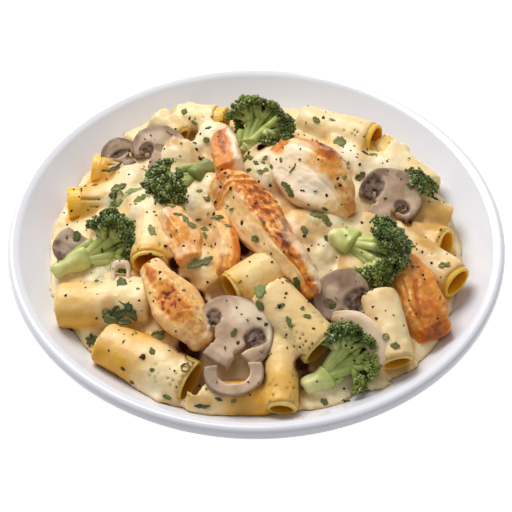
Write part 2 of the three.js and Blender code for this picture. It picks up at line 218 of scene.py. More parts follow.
class Mat:
    def __init__(self, name):
        self.m = bpy.data.materials.new(name)
        self.m.use_nodes = True
        self.t = self.m.node_tree
        self.t.nodes.clear()
        self.out = self.t.nodes.new("ShaderNodeOutputMaterial")
        self.p = self.t.nodes.new("ShaderNodeBsdfPrincipled")
        self.t.links.new(self.p.outputs[0], self.out.inputs[0])
        self.obj = None

    def set(self, **kw):
        for k, v in kw.items():
            self.p.inputs[k.replace("_", " ")].default_value = v
        return self

    def node(self, kind, **kw):
        n = self.t.nodes.new("ShaderNode" + kind)
        for k, v in kw.items():
            if hasattr(n, k) and not k[0].isupper():
                setattr(n, k, v)
        return n

    def link(self, a, b):
        self.t.links.new(a, b)

    def coords(self):
        if self.obj is None:
            self.obj = self.node("TexCoord").outputs["Object"]
        return self.obj

    def noise(self, scale, detail=3.0, rough=0.5, stretch=None, distortion=0.0):
        n = self.node("TexNoise")
        n.inputs["Scale"].default_value = scale
        n.inputs["Detail"].default_value = detail
        n.inputs["Roughness"].default_value = rough
        n.inputs["Distortion"].default_value = distortion
        src = self.coords()
        if stretch:
            mp = self.node("Mapping")
            mp.inputs["Scale"].default_value = stretch
            self.link(src, mp.inputs["Vector"])
            src = mp.outputs[0]
        self.link(src, n.inputs["Vector"])
        return n.outputs["Fac"]

    def voronoi(self, scale, feature="F1"):
        n = self.node("TexVoronoi")
        n.feature = feature
        n.inputs["Scale"].default_value = scale
        self.link(self.coords(), n.inputs["Vector"])
        return n.outputs["Distance"]

    def attr(self, name):
        n = self.node("Attribute")
        n.attribute_name = name
        return n.outputs["Fac"]

    def ramp(self, fac, stops):
        n = self.node("ValToRGB")
        e = n.color_ramp.elements
        while len(e) < len(stops):
            e.new(0.5)
        for el, (p, c) in zip(e, stops):
            el.position = p
            el.color = c if len(c) == 4 else tuple(c) + (1,)
        self.link(fac, n.inputs["Fac"])
        return n.outputs["Color"]

    def mix(self, fac, a, b, mode="MIX"):
        n = self.node("Mix")
        n.data_type = "RGBA"
        n.blend_type = mode
        for i, v in ((0, fac), (6, a), (7, b)):
            if hasattr(v, "is_linked") or isinstance(v, bpy.types.NodeSocket):
                self.link(v, n.inputs[i])
            else:
                n.inputs[i].default_value = v
        return n.outputs[2]

    def math(self, op, a, b=0.0, clamp=False):
        n = self.node("Math")
        n.operation = op
        n.use_clamp = clamp
        for i, v in ((0, a), (1, b)):
            if isinstance(v, bpy.types.NodeSocket):
                self.link(v, n.inputs[i])
            else:
                n.inputs[i].default_value = v
        return n.outputs[0]

    def maprange(self, v, a, b, c, d):
        n = self.node("MapRange")
        n.inputs[1].default_value, n.inputs[2].default_value = a, b
        n.inputs[3].default_value, n.inputs[4].default_value = c, d
        self.link(v, n.inputs[0])
        return n.outputs[0]

    def bump(self, height, strength=0.3, distance=0.001):
        n = self.node("Bump")
        n.inputs["Strength"].default_value = strength
        n.inputs["Distance"].default_value = distance
        self.link(height, n.inputs["Height"])
        self.link(n.outputs[0], self.p.inputs["Normal"])
        return self

    def color(self, c):
        self.link(c, self.p.inputs["Base Color"])
        return self

    def rough(self, c):
        self.link(c, self.p.inputs["Roughness"])
        return self


def glaze():
    m = Mat("white_glaze")
    n = m.noise(9, 2)
    m.color(m.ramp(n, [(0.3, srgb(227, 228, 234)), (0.7, srgb(231, 232, 238))]))
    m.rough(m.maprange(m.noise(60, 3), 0.3, 0.7, 0.10, 0.17))
    m.bump(m.noise(25, 2), 0.02, 0.001)
    m.set(Coat_Weight=0.35, Coat_Roughness=0.06, IOR=1.5)
    return m.m


def sauce_mat():
    m = Mat("cream_sauce")
    # hollow: a darker brown painted where the sauce lies low and at the painted shade spots, a painted shade
    hollow = m.ramp(m.noise(110, 3), [(0.3, srgb(206, 160, 88)), (0.7, srgb(180, 130, 56))])
    # gap: near-black brown painted inside the carved gaps, a painted shade
    gap = m.ramp(m.noise(200, 2), [(0.3, srgb(116, 62, 28)), (0.7, srgb(84, 40, 18))])
    # crest: paler cream on the raised crests of the sauce, a painted highlight
    crest = m.ramp(m.noise(130, 2), [(0.3, srgb(252, 236, 204)), (0.7, srgb(250, 226, 186))])
    cloud = m.math("ADD", m.math("MULTIPLY", m.noise(34, 3), 0.65), m.math("MULTIPLY", m.noise(130, 3), 0.35))
    cream = m.ramp(cloud, [(0.36, srgb(250, 234, 198)), (0.5, srgb(240, 215, 164)), (0.62, srgb(225, 192, 126))])
    amber = m.ramp(m.noise(120, 3), [(0.3, srgb(236, 184, 76)), (0.7, srgb(218, 156, 44))])
    veil = m.ramp(m.noise(100, 2), [(0.3, srgb(246, 219, 162)), (0.7, srgb(236, 205, 138))])
    t = m.math("ADD", m.attr("thin"), m.math("MULTIPLY", m.math("SUBTRACT", m.noise(150, 3), 0.5), 0.3))
    c = m.mix(m.maprange(t, 0.05, 0.55, 0, 1), cream, veil)
    c = m.mix(m.math("MULTIPLY", m.attr("crest"), 0.3), c, crest)
    warm = m.math("ADD", m.attr("amber"), m.math("MULTIPLY", m.math("SUBTRACT", m.noise(170, 3), 0.5), 0.35))
    c = m.mix(m.maprange(warm, 0.06, 0.95, 0, 1), c, amber)
    c = m.mix(m.math("MULTIPLY", m.attr("hollow"), 0.85), c, hollow)
    sage = m.ramp(m.math("ADD", m.math("MULTIPLY", m.noise(170, 3), 0.6), m.math("MULTIPLY", m.noise(420, 2), 0.4)), [(0.36, srgb(232, 228, 196)), (0.5, srgb(206, 194, 142)), (0.62, srgb(158, 142, 82))])
    c = m.mix(m.attr("herby"), c, sage)
    c = m.mix(m.attr("gap"), c, gap)
    m.color(c)
    m.rough(m.maprange(m.noise(160, 2), 0.3, 0.7, 0.24, 0.42))
    h = m.math("ADD", m.noise(260, 4, 0.6), m.math("MULTIPLY", m.noise(900, 2), 0.35))
    m.bump(h, 0.32, 0.0009)
    m.set(Subsurface_Weight=0.25, Subsurface_Radius=(1.0, 0.6, 0.3), Subsurface_Scale=0.003, IOR=1.4)
    return m.m


def pasta_mat():
    m = Mat("rigatoni_pasta")
    n = m.noise(90, 3)
    a = m.attr("inside")
    out = m.ramp(n, [(0.3, srgb(252, 200, 92)), (0.7, srgb(242, 180, 62))])
    film = m.math("MULTIPLY", m.maprange(m.math("ADD", m.math("MULTIPLY", m.noise(75, 3), 0.6), m.math("MULTIPLY", m.noise(240, 2), 0.4)), 0.44, 0.62, 0, 1), 0.6)
    out = m.mix(film, out, srgb(248, 216, 148))
    end = m.ramp(m.noise(150, 2), [(0.3, srgb(252, 200, 44)), (0.7, srgb(244, 180, 24))])
    pale = m.ramp(m.noise(150, 2), [(0.3, srgb(250, 220, 150)), (0.7, srgb(238, 196, 110))])
    end = m.mix(m.attr("pale"), end, pale)
    # inside each tube the colour darkens from yellow at the mouth to brown deep in: painted shade
    brown = m.ramp(m.maprange(a, 0.0, 1.0, 0.0, 1.0), [(0.0, srgb(250, 204, 84)), (0.3, srgb(226, 160, 46)), (0.65, srgb(184, 112, 24)), (1.0, srgb(138, 78, 16))])
    gold = m.ramp(m.maprange(a, 0.0, 1.0, 0.0, 1.0), [(0.0, srgb(255, 206, 70)), (0.3, srgb(252, 186, 38)), (0.65, srgb(238, 156, 26)), (1.0, srgb(214, 130, 20))])
    deep = m.mix(m.attr("gold"), brown, gold)
    c = m.mix(m.maprange(a, -0.2, -1.0, 0, 1), out, end)
    m.color(m.mix(m.maprange(a, 0.0, 0.12, 0, 1), c, deep))
    m.rough(m.maprange(n, 0.3, 0.7, 0.30, 0.42))
    m.bump(m.noise(500, 3), 0.10, 0.0004)
    m.set(Subsurface_Weight=0.45, Subsurface_Radius=(1.0, 0.6, 0.15), Subsurface_Scale=0.004, IOR=1.4)
    return m.m


def chicken_mat():
    m = Mat("seared_chicken")
    flesh = m.ramp(m.noise(140, 3), [(0.25, srgb(254, 222, 166)), (0.55, srgb(250, 206, 142)), (0.8, srgb(240, 184, 110))])
    fine = m.noise(420, 4, 0.65)
    s = m.math("ADD", m.attr("sear"), m.math("MULTIPLY", m.math("SUBTRACT", fine, 0.5), 0.55))
    sear = m.ramp(s, [(0.0, srgb(246, 192, 106)), (0.3, srgb(228, 154, 62)), (0.55, srgb(208, 116, 38)), (0.78, srgb(158, 78, 26)), (1.0, srgb(98, 46, 16))])
    body = m.mix(m.maprange(s, 0.08, 0.32, 0, 1), flesh, sear)
    cream = m.ramp(m.noise(90, 2), [(0.3, srgb(255, 240, 212)), (0.7, srgb(255, 228, 190))])
    m.color(m.mix(m.attr("sauce"), body, cream))
    m.rough(m.maprange(fine, 0.3, 0.7, 0.26, 0.46))
    h = m.math("ADD", m.noise(700, 4, 0.65), m.math("MULTIPLY", m.noise(220, 3), 0.8))
    m.bump(h, 0.30, 0.0008)
    m.set(Subsurface_Weight=0.18, Subsurface_Radius=(1.0, 0.5, 0.25), Subsurface_Scale=0.003, IOR=1.4)
    return m.m


def broccoli_stem_mat():
    m = Mat("broccoli_stem")
    base = m.ramp(m.noise(80, 3), [(0.3, srgb(226, 230, 156)), (0.55, srgb(192, 204, 108)), (0.8, srgb(136, 156, 58))])
    cream = m.ramp(m.noise(100, 2), [(0.3, srgb(240, 228, 178)), (0.7, srgb(232, 216, 160))])
    dark = m.ramp(m.noise(150, 2), [(0.3, srgb(92, 112, 40)), (0.7, srgb(62, 80, 28))])
    # deep darkens the stems toward the crown; on the back, back-left and back-right florets it also carries painted
    # shade over the whole stem
    c = m.mix(m.attr("deep"), base, dark)
    m.color(m.mix(m.attr("sauce"), c, cream))
    m.rough(m.maprange(m.noise(200, 2), 0.3, 0.7, 0.24, 0.42))
    m.bump(m.math("ADD", m.noise(260, 3), m.math("MULTIPLY", m.noise(800, 2), 0.4)), 0.35, 0.0008)
    m.set(Subsurface_Weight=0.2, Subsurface_Radius=(0.6, 1.0, 0.3), Subsurface_Scale=0.002, IOR=1.4)
    return m.m


def broccoli_bud_mat():
    m = Mat("broccoli_buds")
    base = m.ramp(m.noise(260, 3), [(0.25, srgb(46, 58, 24)), (0.5, srgb(76, 90, 34)), (0.75, srgb(128, 140, 58))])
    # tip: a lighter green on the top of each bud dome, a painted highlight
    tip = m.ramp(m.noise(500, 2), [(0.3, srgb(122, 140, 72)), (0.7, srgb(162, 174, 106))])
    c = m.mix(m.attr("tip"), base, tip)
    fresh = m.ramp(m.noise(260, 3), [(0.25, srgb(96, 110, 34)), (0.5, srgb(136, 148, 58)), (0.75, srgb(186, 192, 104))])
    c = m.mix(m.attr("fresh"), c, fresh)
    m.color(m.mix(m.attr("pale"), c, srgb(190, 202, 146)))
    m.rough(m.maprange(m.noise(300, 2), 0.3, 0.7, 0.28, 0.5))
    m.bump(m.noise(1500, 2), 0.3, 0.0003)
    m.set(IOR=1.4)
    return m.m


def mushroom_mat():
    m = Mat("mushroom")
    flesh = m.ramp(m.noise(120, 3), [(0.3, srgb(222, 194, 164)), (0.55, srgb(200, 168, 138)), (0.8, srgb(166, 132, 104))])
    skin = m.ramp(m.noise(160, 3), [(0.3, srgb(152, 124, 102)), (0.7, srgb(114, 86, 68))])
    gill = m.ramp(m.noise(300, 3, stretch=(1, 1, 1)), [(0.3, srgb(62, 30, 28)), (0.6, srgb(36, 15, 14)), (0.8, srgb(18, 8, 8))])
    c = m.mix(m.attr("skin"), flesh, skin)
    c = m.mix(m.attr("gill"), c, gill)
    m.color(m.mix(m.attr("sauce"), c, srgb(240, 218, 184)))
    m.rough(m.math("ADD", m.maprange(m.noise(200, 2), 0.3, 0.7, 0.3, 0.48), m.math("MULTIPLY", m.attr("gill"), 0.35)))
    m.bump(m.noise(500, 4, 0.6), 0.2, 0.0006)
    m.set(Subsurface_Weight=0.2, Subsurface_Radius=(1.0, 0.7, 0.5), Subsurface_Scale=0.002, IOR=1.4)
    return m.m


def herb_mat():
    m = Mat("parsley")
    pale = m.ramp(m.noise(300, 3), [(0.3, srgb(158, 160, 88)), (0.6, srgb(128, 136, 66)), (0.85, srgb(104, 114, 52))])
    deep = m.ramp(m.noise(420, 3), [(0.3, srgb(88, 92, 38)), (0.6, srgb(64, 66, 26)), (0.85, srgb(40, 40, 16))])
    m.color(m.mix(m.maprange(m.attr("dark"), 0.15, 0.8, 0, 1), pale, deep))
    m.rough(m.maprange(m.noise(400, 2), 0.3, 0.7, 0.36, 0.55))
    m.bump(m.noise(900, 3), 0.4, 0.0004)
    m.set(IOR=1.4)
    return m.m


def pepper_mat():
    m = Mat("ground_pepper")
    dark = m.ramp(m.noise(900, 2), [(0.3, srgb(50, 36, 20)), (0.7, srgb(26, 18, 10))])
    brown = m.ramp(m.noise(900, 2), [(0.3, srgb(116, 86, 46)), (0.7, srgb(78, 58, 32))])
    m.color(m.mix(m.maprange(m.attr("dark"), 0.0, 0.5, 0, 1), brown, dark))
    m.rough(m.maprange(m.noise(700, 2), 0.3, 0.7, 0.45, 0.65))
    m.bump(m.noise(2000, 2), 0.4, 0.0002)
    m.set(IOR=1.4)
    return m.m


# ------------------------------------------------------------------ the bowl
def bowl():
    prof = [(0, 3.6), (30, 3.5), (44.4, 3.4), (45.3, 3.0), (45.8, 1.4), (46.3, 0.4), (47.2, 0.0), (50.8, 0.0), (51.7, 0.4), (52.2, 1.6), (52.8, 3.2), (54, 4.4)]
    out = [(60, 6.6), (66, 8.6), (72, 10.9), (78, 13.4), (84, 16.3), (90, 19.7), (95, 22.8), (100, 26.3), (104, 29.3), (107.5, 31.7), (110, 33.1), (112, 33.9), (113.8, 34.2), (115.3, 34.7), (116.5, 35.6), (117.2, 36.9), (117.45, 38.4), (117.3, 39.8), (116.8, 40.9), (116, 41.6), (115, 41.95), (114.1, 41.9), (113.3, 41.5)]
    ins = [(r, float(inside_z(r))) for r in (112.4, 111, 109, 106.5, 104, 101, 98, 94, 90, 85, 80, 74, 68, 60, 52, 44, 34, 24, 12)] + [(0, 9.0)]
    pts = np.array(prof + out + ins)
    # smooth the outline with one round of corner cutting, keeping the foot's flat and both ends
    n = 176
    ang = np.linspace(0, 2 * math.pi, n, endpoint=False)
    mid = pts[1:-1]
    rows = np.stack([mid[:, 0:1] * np.cos(ang), mid[:, 0:1] * np.sin(ang), np.repeat(mid[:, 1:2], n, 1)], -1)
    M = Mesh()
    V = np.concatenate([rows.reshape(-1, 3), [[0, 0, pts[0, 1]], [0, 0, pts[-1, 1]]]])
    F4 = grid_faces(len(mid), n, True)
    k = np.arange(n)
    a = len(mid) * n
    F3 = np.concatenate([
        np.stack([np.full(n, a), (k + 1) % n, k], -1),
        np.stack([np.full(n, a + 1), (len(mid) - 1) * n + k, (len(mid) - 1) * n + (k + 1) % n], -1),
    ])
    M.add(V, F3, F4)
    return M.build("bowl_glazed", glaze(), ["bowl"], "bowl")


# ------------------------------------------------------------------ placements, the same as the CAD's (mm)
# name, end that shows, other end, outside diameter, flattening, open at first end, open at second
RIG = [
    ("a", (-90.6, 20.7, 38.0), (-49.7, 23.4, 39.3), 16.5, 0.90, 1, 0),
    ("b", (-80.7, 45.1, 38.0), (-43.0, 42.2, 34.3), 15.0, 0.90, 1, 0),
    ("c", (-88.7, -44.9, 39.0), (-48.9, -45.5, 42.8), 21.0, 0.82, 0, 0),
    ("d", (-28.0, -88.2, 38.5), (-67.1, -65.9, 38.7), 21.0, 0.75, 1, 0),
    ("e", (-48.7, -28.6, 49.0), (-48.3, 2.3, 47.0), 17.0, 0.90, 1, 0),
    ("f", (11.0, -103.6, 38.9), (11.6, -65.6, 46.0), 13.4, 0.90, 1, 0),
    ("g", (28.6, -75.7, 46.0), (5.0, -51.2, 54.2), 20.5, 0.84, 1, 0),
    ("h", (61.6, -80.4, 41.2), (54.8, -48.6, 50.4), 14.8, 0.90, 1, 0),
    ("i", (89.2, -10.4, 41.0), (56.0, 9.9, 30.4), 17.4, 0.90, 1, 0),
    ("j", (92.3, -33.2, 41.0), (63.6, -2.6, 39.4), 17.0, 0.90, 1, 0),
    ("k", (59.8, 60.1, 43.0), (23.7, 78.8, 37.9), 16.5, 0.90, 1, 0),
    ("l", (-14.7, 70.9, 46.0), (-40.6, 77.0, 41.3), 15.0, 0.90, 1, 1),
    ("m", (-11.6, -47.2, 51.6), (20.0, -26.0, 53.5), 17.5, 0.90, 1, 0),
    ("n", (-37.1, 58.7, 45.0), (-49.6, 69.9, 47.2), 13.0, 0.90, 1, 0),
    ("o", (74.1, 54.6, 35.0), (36.5, 59.1, 38.0), 15.0, 0.90, 0, 0),
    ("p", (4.8, -95.8, 35.5), (-29.2, -95.6, 36.0), 15.0, 0.90, 0, 0),
    ("q", (91.7, 9.5, 37.0), (63.7, 19.1, 41.7), 15.5, 0.90, 0, 0),
    ("r", (-17.5, -40.5, 45.5), (-31.7, -18.6, 48.5), 15.0, 0.90, 0, 0),
    ("s", (-75, 5, 38), (-42, -4, 44), 16.0, 0.92, 0, 0),
    ("t", (4, 36, 47), (40, 44, 44), 16.0, 0.92, 0, 0),
    ("u", (-36, -46, 42), (-70, -36, 40), 16.0, 0.92, 0, 0),
    ("v", (44, -34, 44), (52, 0, 46), 16.0, 0.92, 0, 0),
    ("w", (74, -58, 29), (48, -72, 29), 15.0, 0.92, 0, 0),
    ("x", (-62, 60, 37), (-30, 84, 37), 16.0, 0.92, 0, 0),
    ("y", (-4, 84, 33), (28, 80, 33), 16.0, 0.92, 0, 0),
    ("z", (84, 32, 36), (60, 62, 37), 16.0, 0.92, 0, 0),
]
WALL = 1.8


def tube_frame(A, B):
    A, B = np.array(A, float), np.array(B, float)
    a = unit(A - B)
    h = unit(np.cross(a, Z))
    v = np.cross(h, a)
    return A, B, a, h, v, float(np.linalg.norm(A - B))


# how pale the cut rim is, and how golden the inside
RIM = {"a": (0.0, 1.0), "b": (0.35, 1.0), "c": (0.3, 0.5), "d": (0.6, 0.4), "e": (0.55, 0.9), "f": (0.8, 0.35), "g": (0.8, 0.3), "h": (0.85, 0.3), "i": (0.45, 1.0), "j": (0.2, 1.0), "k": (0.1, 1.0), "l": (0.2, 0.8), "m": (0.55, 0.55), "n": (0.5, 0.8), "r": (0.7, 0.1)}


def rigatoni_mesh(M, A, B, od, flat, seed, name):
    A, B, a, h, v, L = tube_frame(A, B)
    rng = np.random.default_rng(seed)
    n, ridges = 108, 27
    th = np.linspace(0, 2 * math.pi, n, endpoint=False)
    bend = rng.uniform(-0.8, 0.8)
    ph = rng.uniform(0, 6.28)
    R = od / 2
    slant = rng.uniform(-0.05, 0.05, 4)

    def ring(s, rad, ridge):
        # s runs from B (0) to A (L); the ends are cut a little out of square
        e = s + (slant[0] * np.cos(th) + slant[1] * np.sin(th)) * R * (s / L) + (slant[2] * np.cos(th) + slant[3] * np.sin(th)) * R * (1 - s / L)
        rr = rad * (1 + 0.012 * np.cos(2 * th + ph) + 0.010 * np.sin(3 * th + 5 * s / L + ph)) + ridge * 0.055 * np.cos(ridges * th)
        off = bend * math.sin(math.pi * s / L)
        return (B[None] + a[None] * e[:, None] + h[None] * (np.cos(th) * rr + off)[:, None] + v[None] * (np.sin(th) * rr * flat)[:, None])

    rows, ins = [], []
    for s in np.linspace(0.5, L - 0.5, 11):
        rows.append(ring(s, R - 0.16, 1.0)); ins.append(-max(0.0, 1 - min(s, L - s) / 9.0))
    rows.append(ring(L - 0.12, R - 0.45, 0.6)); ins.append(-1.0)
    rows.append(ring(L, R - 1.0, 0.0)); ins.append(-0.6)
    rows.append(ring(L - 0.12, R - WALL + 0.1, 0.0)); ins.append(0.15)
    # inside values rise with depth from the mouths; the inner colour darkens with them as painted shade
    for s in np.concatenate([np.linspace(L - 0.6, L - 10, 4), np.linspace(L - 14, 14, 2), np.linspace(10, 0.6, 4)]) if L > 30 else np.linspace(L - 0.6, 0.6, 9):
        rows.append(ring(s, R - WALL, 0.0)); ins.append(0.2 + 0.8 * min(1.0, min(s, L - s) / 9.0))
    rows.append(ring(0.12, R - WALL + 0.1, 0.0)); ins.append(0.15)
    rows.append(ring(0.0, R - 1.0, 0.0)); ins.append(-0.6)
    rows.append(ring(0.12, R - 0.45, 0.6)); ins.append(-1.0)
    V = np.concatenate(rows)
    m = len(rows)
    i = np.arange(m)[:, None]
    k = np.arange(n)[None, :]
    a0 = i * n + k
    b0 = i * n + (k + 1) % n
    c0 = ((i + 1) % m) * n + (k + 1) % n
    d0 = ((i + 1) % m) * n + k
    F = np.stack([a0, b0, c0, d0], -1).reshape(-1, 4)
    pale, gold = RIM.get(name, (0.7, 0.3))
    M.add(V, None, F, inside=np.repeat(np.array(ins), n), pale=pale, gold=gold)


def coat(name, s, L, th, P):
    """Thickness of the sauce on a tube, mm, at distance s from its second end; below zero the pasta is bare."""
    n = fbm(P, 9, 31)
    c = 1.0 + 0.5 * n
    if name == "d":
        c = 0.62 + 0.10 * n + 0.4 * sstep(8, 26, s)
    if name == "c":
        c = 0.62 + 0.10 * n + 0.4 * sstep(L - 8, L - 26, s)
    if name == "f":
        c = 0.95 + 0.12 * n - 0.32 * sstep(16, 30, s + 3 * n)
    if name == "g":
        c = 0.82 + 0.15 * n
    if name == "p":
        c = 0.75 + 0.15 * n
    if name == "a":
        c = 0.72 + 0.12 * n
    if name in ("a", "b"):
        c = c - 2.2 * (sstep(L - 6, L - 4, s + n) if name == "a" else sstep(L - 4.5, L - 2.5, s + n))
        c = c - 0.3 * sstep(L - 20, L - 8, s)
    if name == "l":
        c = c - 1.8 * sstep(L - 7, L - 2, s + n)
    if name in ("j", "k"):
        c = c - 1.6 * (sstep(L - 3.5, L - 1, s) if name == "k" else sstep(L - 2.6, L - 0.8, s))
    if name == "h":
        c = 1.35 + 0.25 * n
    if name in ("e", "m"):
        c = np.maximum(c - 0.3, 0.6)
    return np.where(c > 0.42, c, 0.42 - (0.42 - c) * 4)


def warmth(name, s, L, th, P):
    """How much the amber of the pasta shows through its coat, 0 to 1."""
    n = fbm(P, 8, 33)
    up = np.sin(th)
    # for c and d the amber fades toward the top of the tube: a painted highlight
    if name == "c":
        return sstep(L - 25, L - 12, s + 3 * n) * (0.50 + 0.6 * sstep(0.85, 0.3, up))
    if name == "d":
        return np.maximum(sstep(30, 15, s + 4 * n) * (0.60 + 0.45 * sstep(0.97, 0.55, up)), 0.30 * sstep(L - 9, L - 2, s))
    if name == "f":
        return 0.18 + 0.62 * sstep(6, 28, s + 4 * n)
    if name == "g":
        return 0.22 + 0.15 * sstep(0.6, 1.0, s / L) + 0.12 * n
    if name == "h":
        return 0.14 + 0.08 * n + 0.26 * sstep(L - 14, L, s)
    if name == "e":
        return 0.10 + 0.35 * sstep(L - 14, L - 4, s + n) + 0.45 * sstep(L - 6, L - 3, s)
    if name == "m":
        return 0.26 + 0.2 * n + 0.50 * sstep(L - 10, L - 1, s)
    if name == "r":
        return 0.10 + 0.30 * sstep(L - 10, L - 2, s)
    if name == "p":
        return 0.85 * sstep(L - 23, L - 12, s + 2 * n) + 0.1
    if name in ("a", "b"):
        return 0.06 + 0.90 * sstep(L - 22, L - 6, s + 3 * n)
    if name == "i":
        return 0.22 + 0.60 * sstep(L - 18, L - 3, s + 3 * n)
    if name == "j":
        return 0.16 + 0.40 * sstep(L - 10, L - 1, s + 2 * n)
    if name == "q":
        return 0.45 + 0.3 * n
    if name in ("k", "l", "n"):
        return 0.10 + 0.35 * sstep(L - 10, L - 1, s + 2 * n)
    return 0.02 + 0.10 * n


# ------------------------------------------------------------------ chicken
CHICKEN = {
    "chicken_strip_centre": [((-11.8, 9.4, 59), 10.8, 10), ((-2.3, -7.3, 60), 12.5, 11), ((8.7, -24.8, 59), 9.1, 11), ((18.5, -36.8, 56), 6.8, 10), ((24.3, -45.9, 52), 5.0, 8)],
    "chicken_chunk_back": [((13.8, 32.0, 57), 8.0, 9), ((20.4, 23.4, 60), 14.0, 12), ((28.4, 15.2, 60), 16.0, 13), ((36.0, 7.0, 57), 11.6, 12), ((39.6, 3.4, 53), 6.9, 9)],
    "chicken_bite_top": [((-15.2, 42.5, 56.5), 5.8, 8), ((-14.0, 33.4, 57.5), 6.7, 9), ((-13.0, 25.2, 58), 6.6, 9)],
    "chicken_bite_left": [((-38.2, -6.2, 54), 6.8, 8), ((-33.4, -17.9, 55), 8.6, 9), ((-30.4, -27.6, 54), 6.0, 8)],
    "chicken_bite_middle": [((-14.9, -9.3, 54), 5.6, 8), ((-13.3, -23.2, 54), 6.4, 9), ((-13.6, -34.7, 53), 5.5, 8)],
    "chicken_strip_front_left": [((-44.6, -38.0, 50.5), 6.0, 9), ((-36.8, -52.5, 52.5), 10.6, 11), ((-29.6, -63.6, 50.5), 10.0, 11), ((-25.0, -69.4, 46.5), 6.4, 9)],
    "chicken_strip_right": [((68.9, -26.0, 43), 6.4, 8), ((70.2, -39.0, 45.5), 10.6, 10), ((73.8, -50.2, 43.5), 12.0, 10), ((78.2, -58.8, 39.0), 9.6, 9)],
}


def spline(st, t):
    """Catmull-Rom through the stations: centre, half width, half thickness, tangent."""
    C = np.array([s[0] for s in st], float)
    W = np.array([[s[1], s[2]] for s in st], float)
    X = np.hstack([C, W])
    n = len(X) - 1
    f = np.clip(t * n, 0, n - 1e-6)
    i = f.astype(int)
    u = (f - i)[:, None]
    Xp = np.vstack([2 * X[0] - X[1], X, 2 * X[-1] - X[-2]])
    p0, p1, p2, p3 = Xp[i], Xp[i + 1], Xp[i + 2], Xp[i + 3]
    q = 0.5 * (2 * p1 + (p2 - p0) * u + (2 * p0 - 5 * p1 + 4 * p2 - p3) * u**2 + (3 * p1 - p0 - 3 * p2 + p3) * u**3)
    d = 0.5 * ((p2 - p0) + 2 * (2 * p0 - 5 * p1 + 4 * p2 - p3) * u + 3 * (3 * p1 - p0 - 3 * p2 + p3) * u**2)
    T = d[:, :3] / np.linalg.norm(d[:, :3], axis=1, keepdims=True)
    return q[:, :3], q[:, 3], q[:, 4], T


def chicken_mesh(name, rows=90, cols=110, seed=1, cuts=(), fibre=0.25, square=3.2, relief=None):
    """A lofted strip with blunt ends, flat cut faces, and fibres along it. Returns arrays for painting."""
    st = CHICKEN[name]
    # ring parameters: blunt, rounded ends
    e = np.linspace(0, 1, 12)
    over = np.concatenate([1 - e[:-1], np.zeros(rows), e[1:]])
    t = np.concatenate([np.zeros(11), np.linspace(0, 1, rows), np.ones(11)])
    C, HW, HD, T = spline(st, t)
    rnd = (1 - over**3) ** (1 / 3.0)
    rnd = np.maximum(rnd, 0.02)
    side = np.where(np.arange(len(t)) < len(t) // 2, -1.0, 1.0)
    C = C + T * (side * over * HD * 0.62)[:, None]
    W = np.cross(T, FACE)
    W /= np.linalg.norm(W, axis=1, keepdims=True)
    N = np.cross(W, T)
    th = np.linspace(0, 2 * math.pi, cols, endpoint=False)
    cs, sn = np.cos(th), np.sin(th)
    box = (np.abs(cs) ** square + np.abs(sn) ** square) ** (-1 / square)
    X = cs * box
    Y = sn * box
    x = X[None, :] * rnd[:, None]
    y = Y[None, :] * rnd[:, None]
    P = C[:, None, :] + W[:, None, :] * (x * HW[:, None])[..., None] + N[:, None, :] * (y * HD[:, None])[..., None]
    tt = np.broadcast_to((t + side * over * 0.12 * 0)[:, None], x.shape)
    P = P.reshape(-1, 3)
    loc = np.stack([tt.ravel(), x.ravel(), y.ravel()], -1)
    Tn = np.repeat(T, cols, 0)
    Wn = np.repeat(W, cols, 0)
    Nn = np.repeat(N, cols, 0)
    Cn = np.repeat(C, cols, 0)
    # flat cuts: (direction in w, n, t), distance from the centre line in mm
    for (dw, dn, dt), dist in cuts:
        d = Wn * dw + Nn * dn + Tn * dt
        d /= np.linalg.norm(d, axis=1, keepdims=True)
        out = np.einsum("ij,ij->i", P - Cn, d) - dist
        soft = 1.2
        push = np.where(out > -soft, np.where(out > soft, out, (out + soft) ** 2 / (4 * soft)), 0)
        P = P - d * push[:, None]
    # surface unevenness
    r = P - Cn
    r /= np.maximum(np.linalg.norm(r, axis=1, keepdims=True), 1e-6)
    q = np.stack([np.einsum("ij,ij->i", P, Tn) * 0.16, np.einsum("ij,ij->i", P, Wn), np.einsum("ij,ij->i", P, Nn)], -1)
    disp = 1.1 * fbm(P, 11, seed, 2) + 0.45 * fbm(P, 4, seed + 5, 2) + fibre * fbm(q, 1.7, seed + 9, 2)
    if relief is not None:
        disp = disp + relief(P, loc[:, 0], loc[:, 1], loc[:, 2])
    P = P + r * disp[:, None]
    F = grid_faces(len(t), cols, True)
    first, last = len(P), len(P) + 1
    P = np.vstack([P, C[0], C[-1]])
    loc = np.vstack([loc, [0, 0, 0], [1, 0, 0]])
    k = np.arange(cols)
    o = (len(t) - 1) * cols
    F3 = np.concatenate([np.stack([np.full(cols, first), (k + 1) % cols, k], -1), np.stack([np.full(cols, last), o + k, o + (k + 1) % cols], -1)])
    return P, F3, F, loc


def outward(P, F3, F4):
    """True where the mesh's volume is positive with these faces."""
    a, b, c = P[F3[:, 0]], P[F3[:, 1]], P[F3[:, 2]]
    v = np.einsum("ij,ij->i", a, np.cross(b, c)).sum()
    if F4 is not None and len(F4):
        a, b, c, d = (P[F4[:, i]] for i in range(4))
        v += np.einsum("ij,ij->i", a, np.cross(b, c)).sum() + np.einsum("ij,ij->i", a, np.cross(c, d)).sum()
    return v > 0


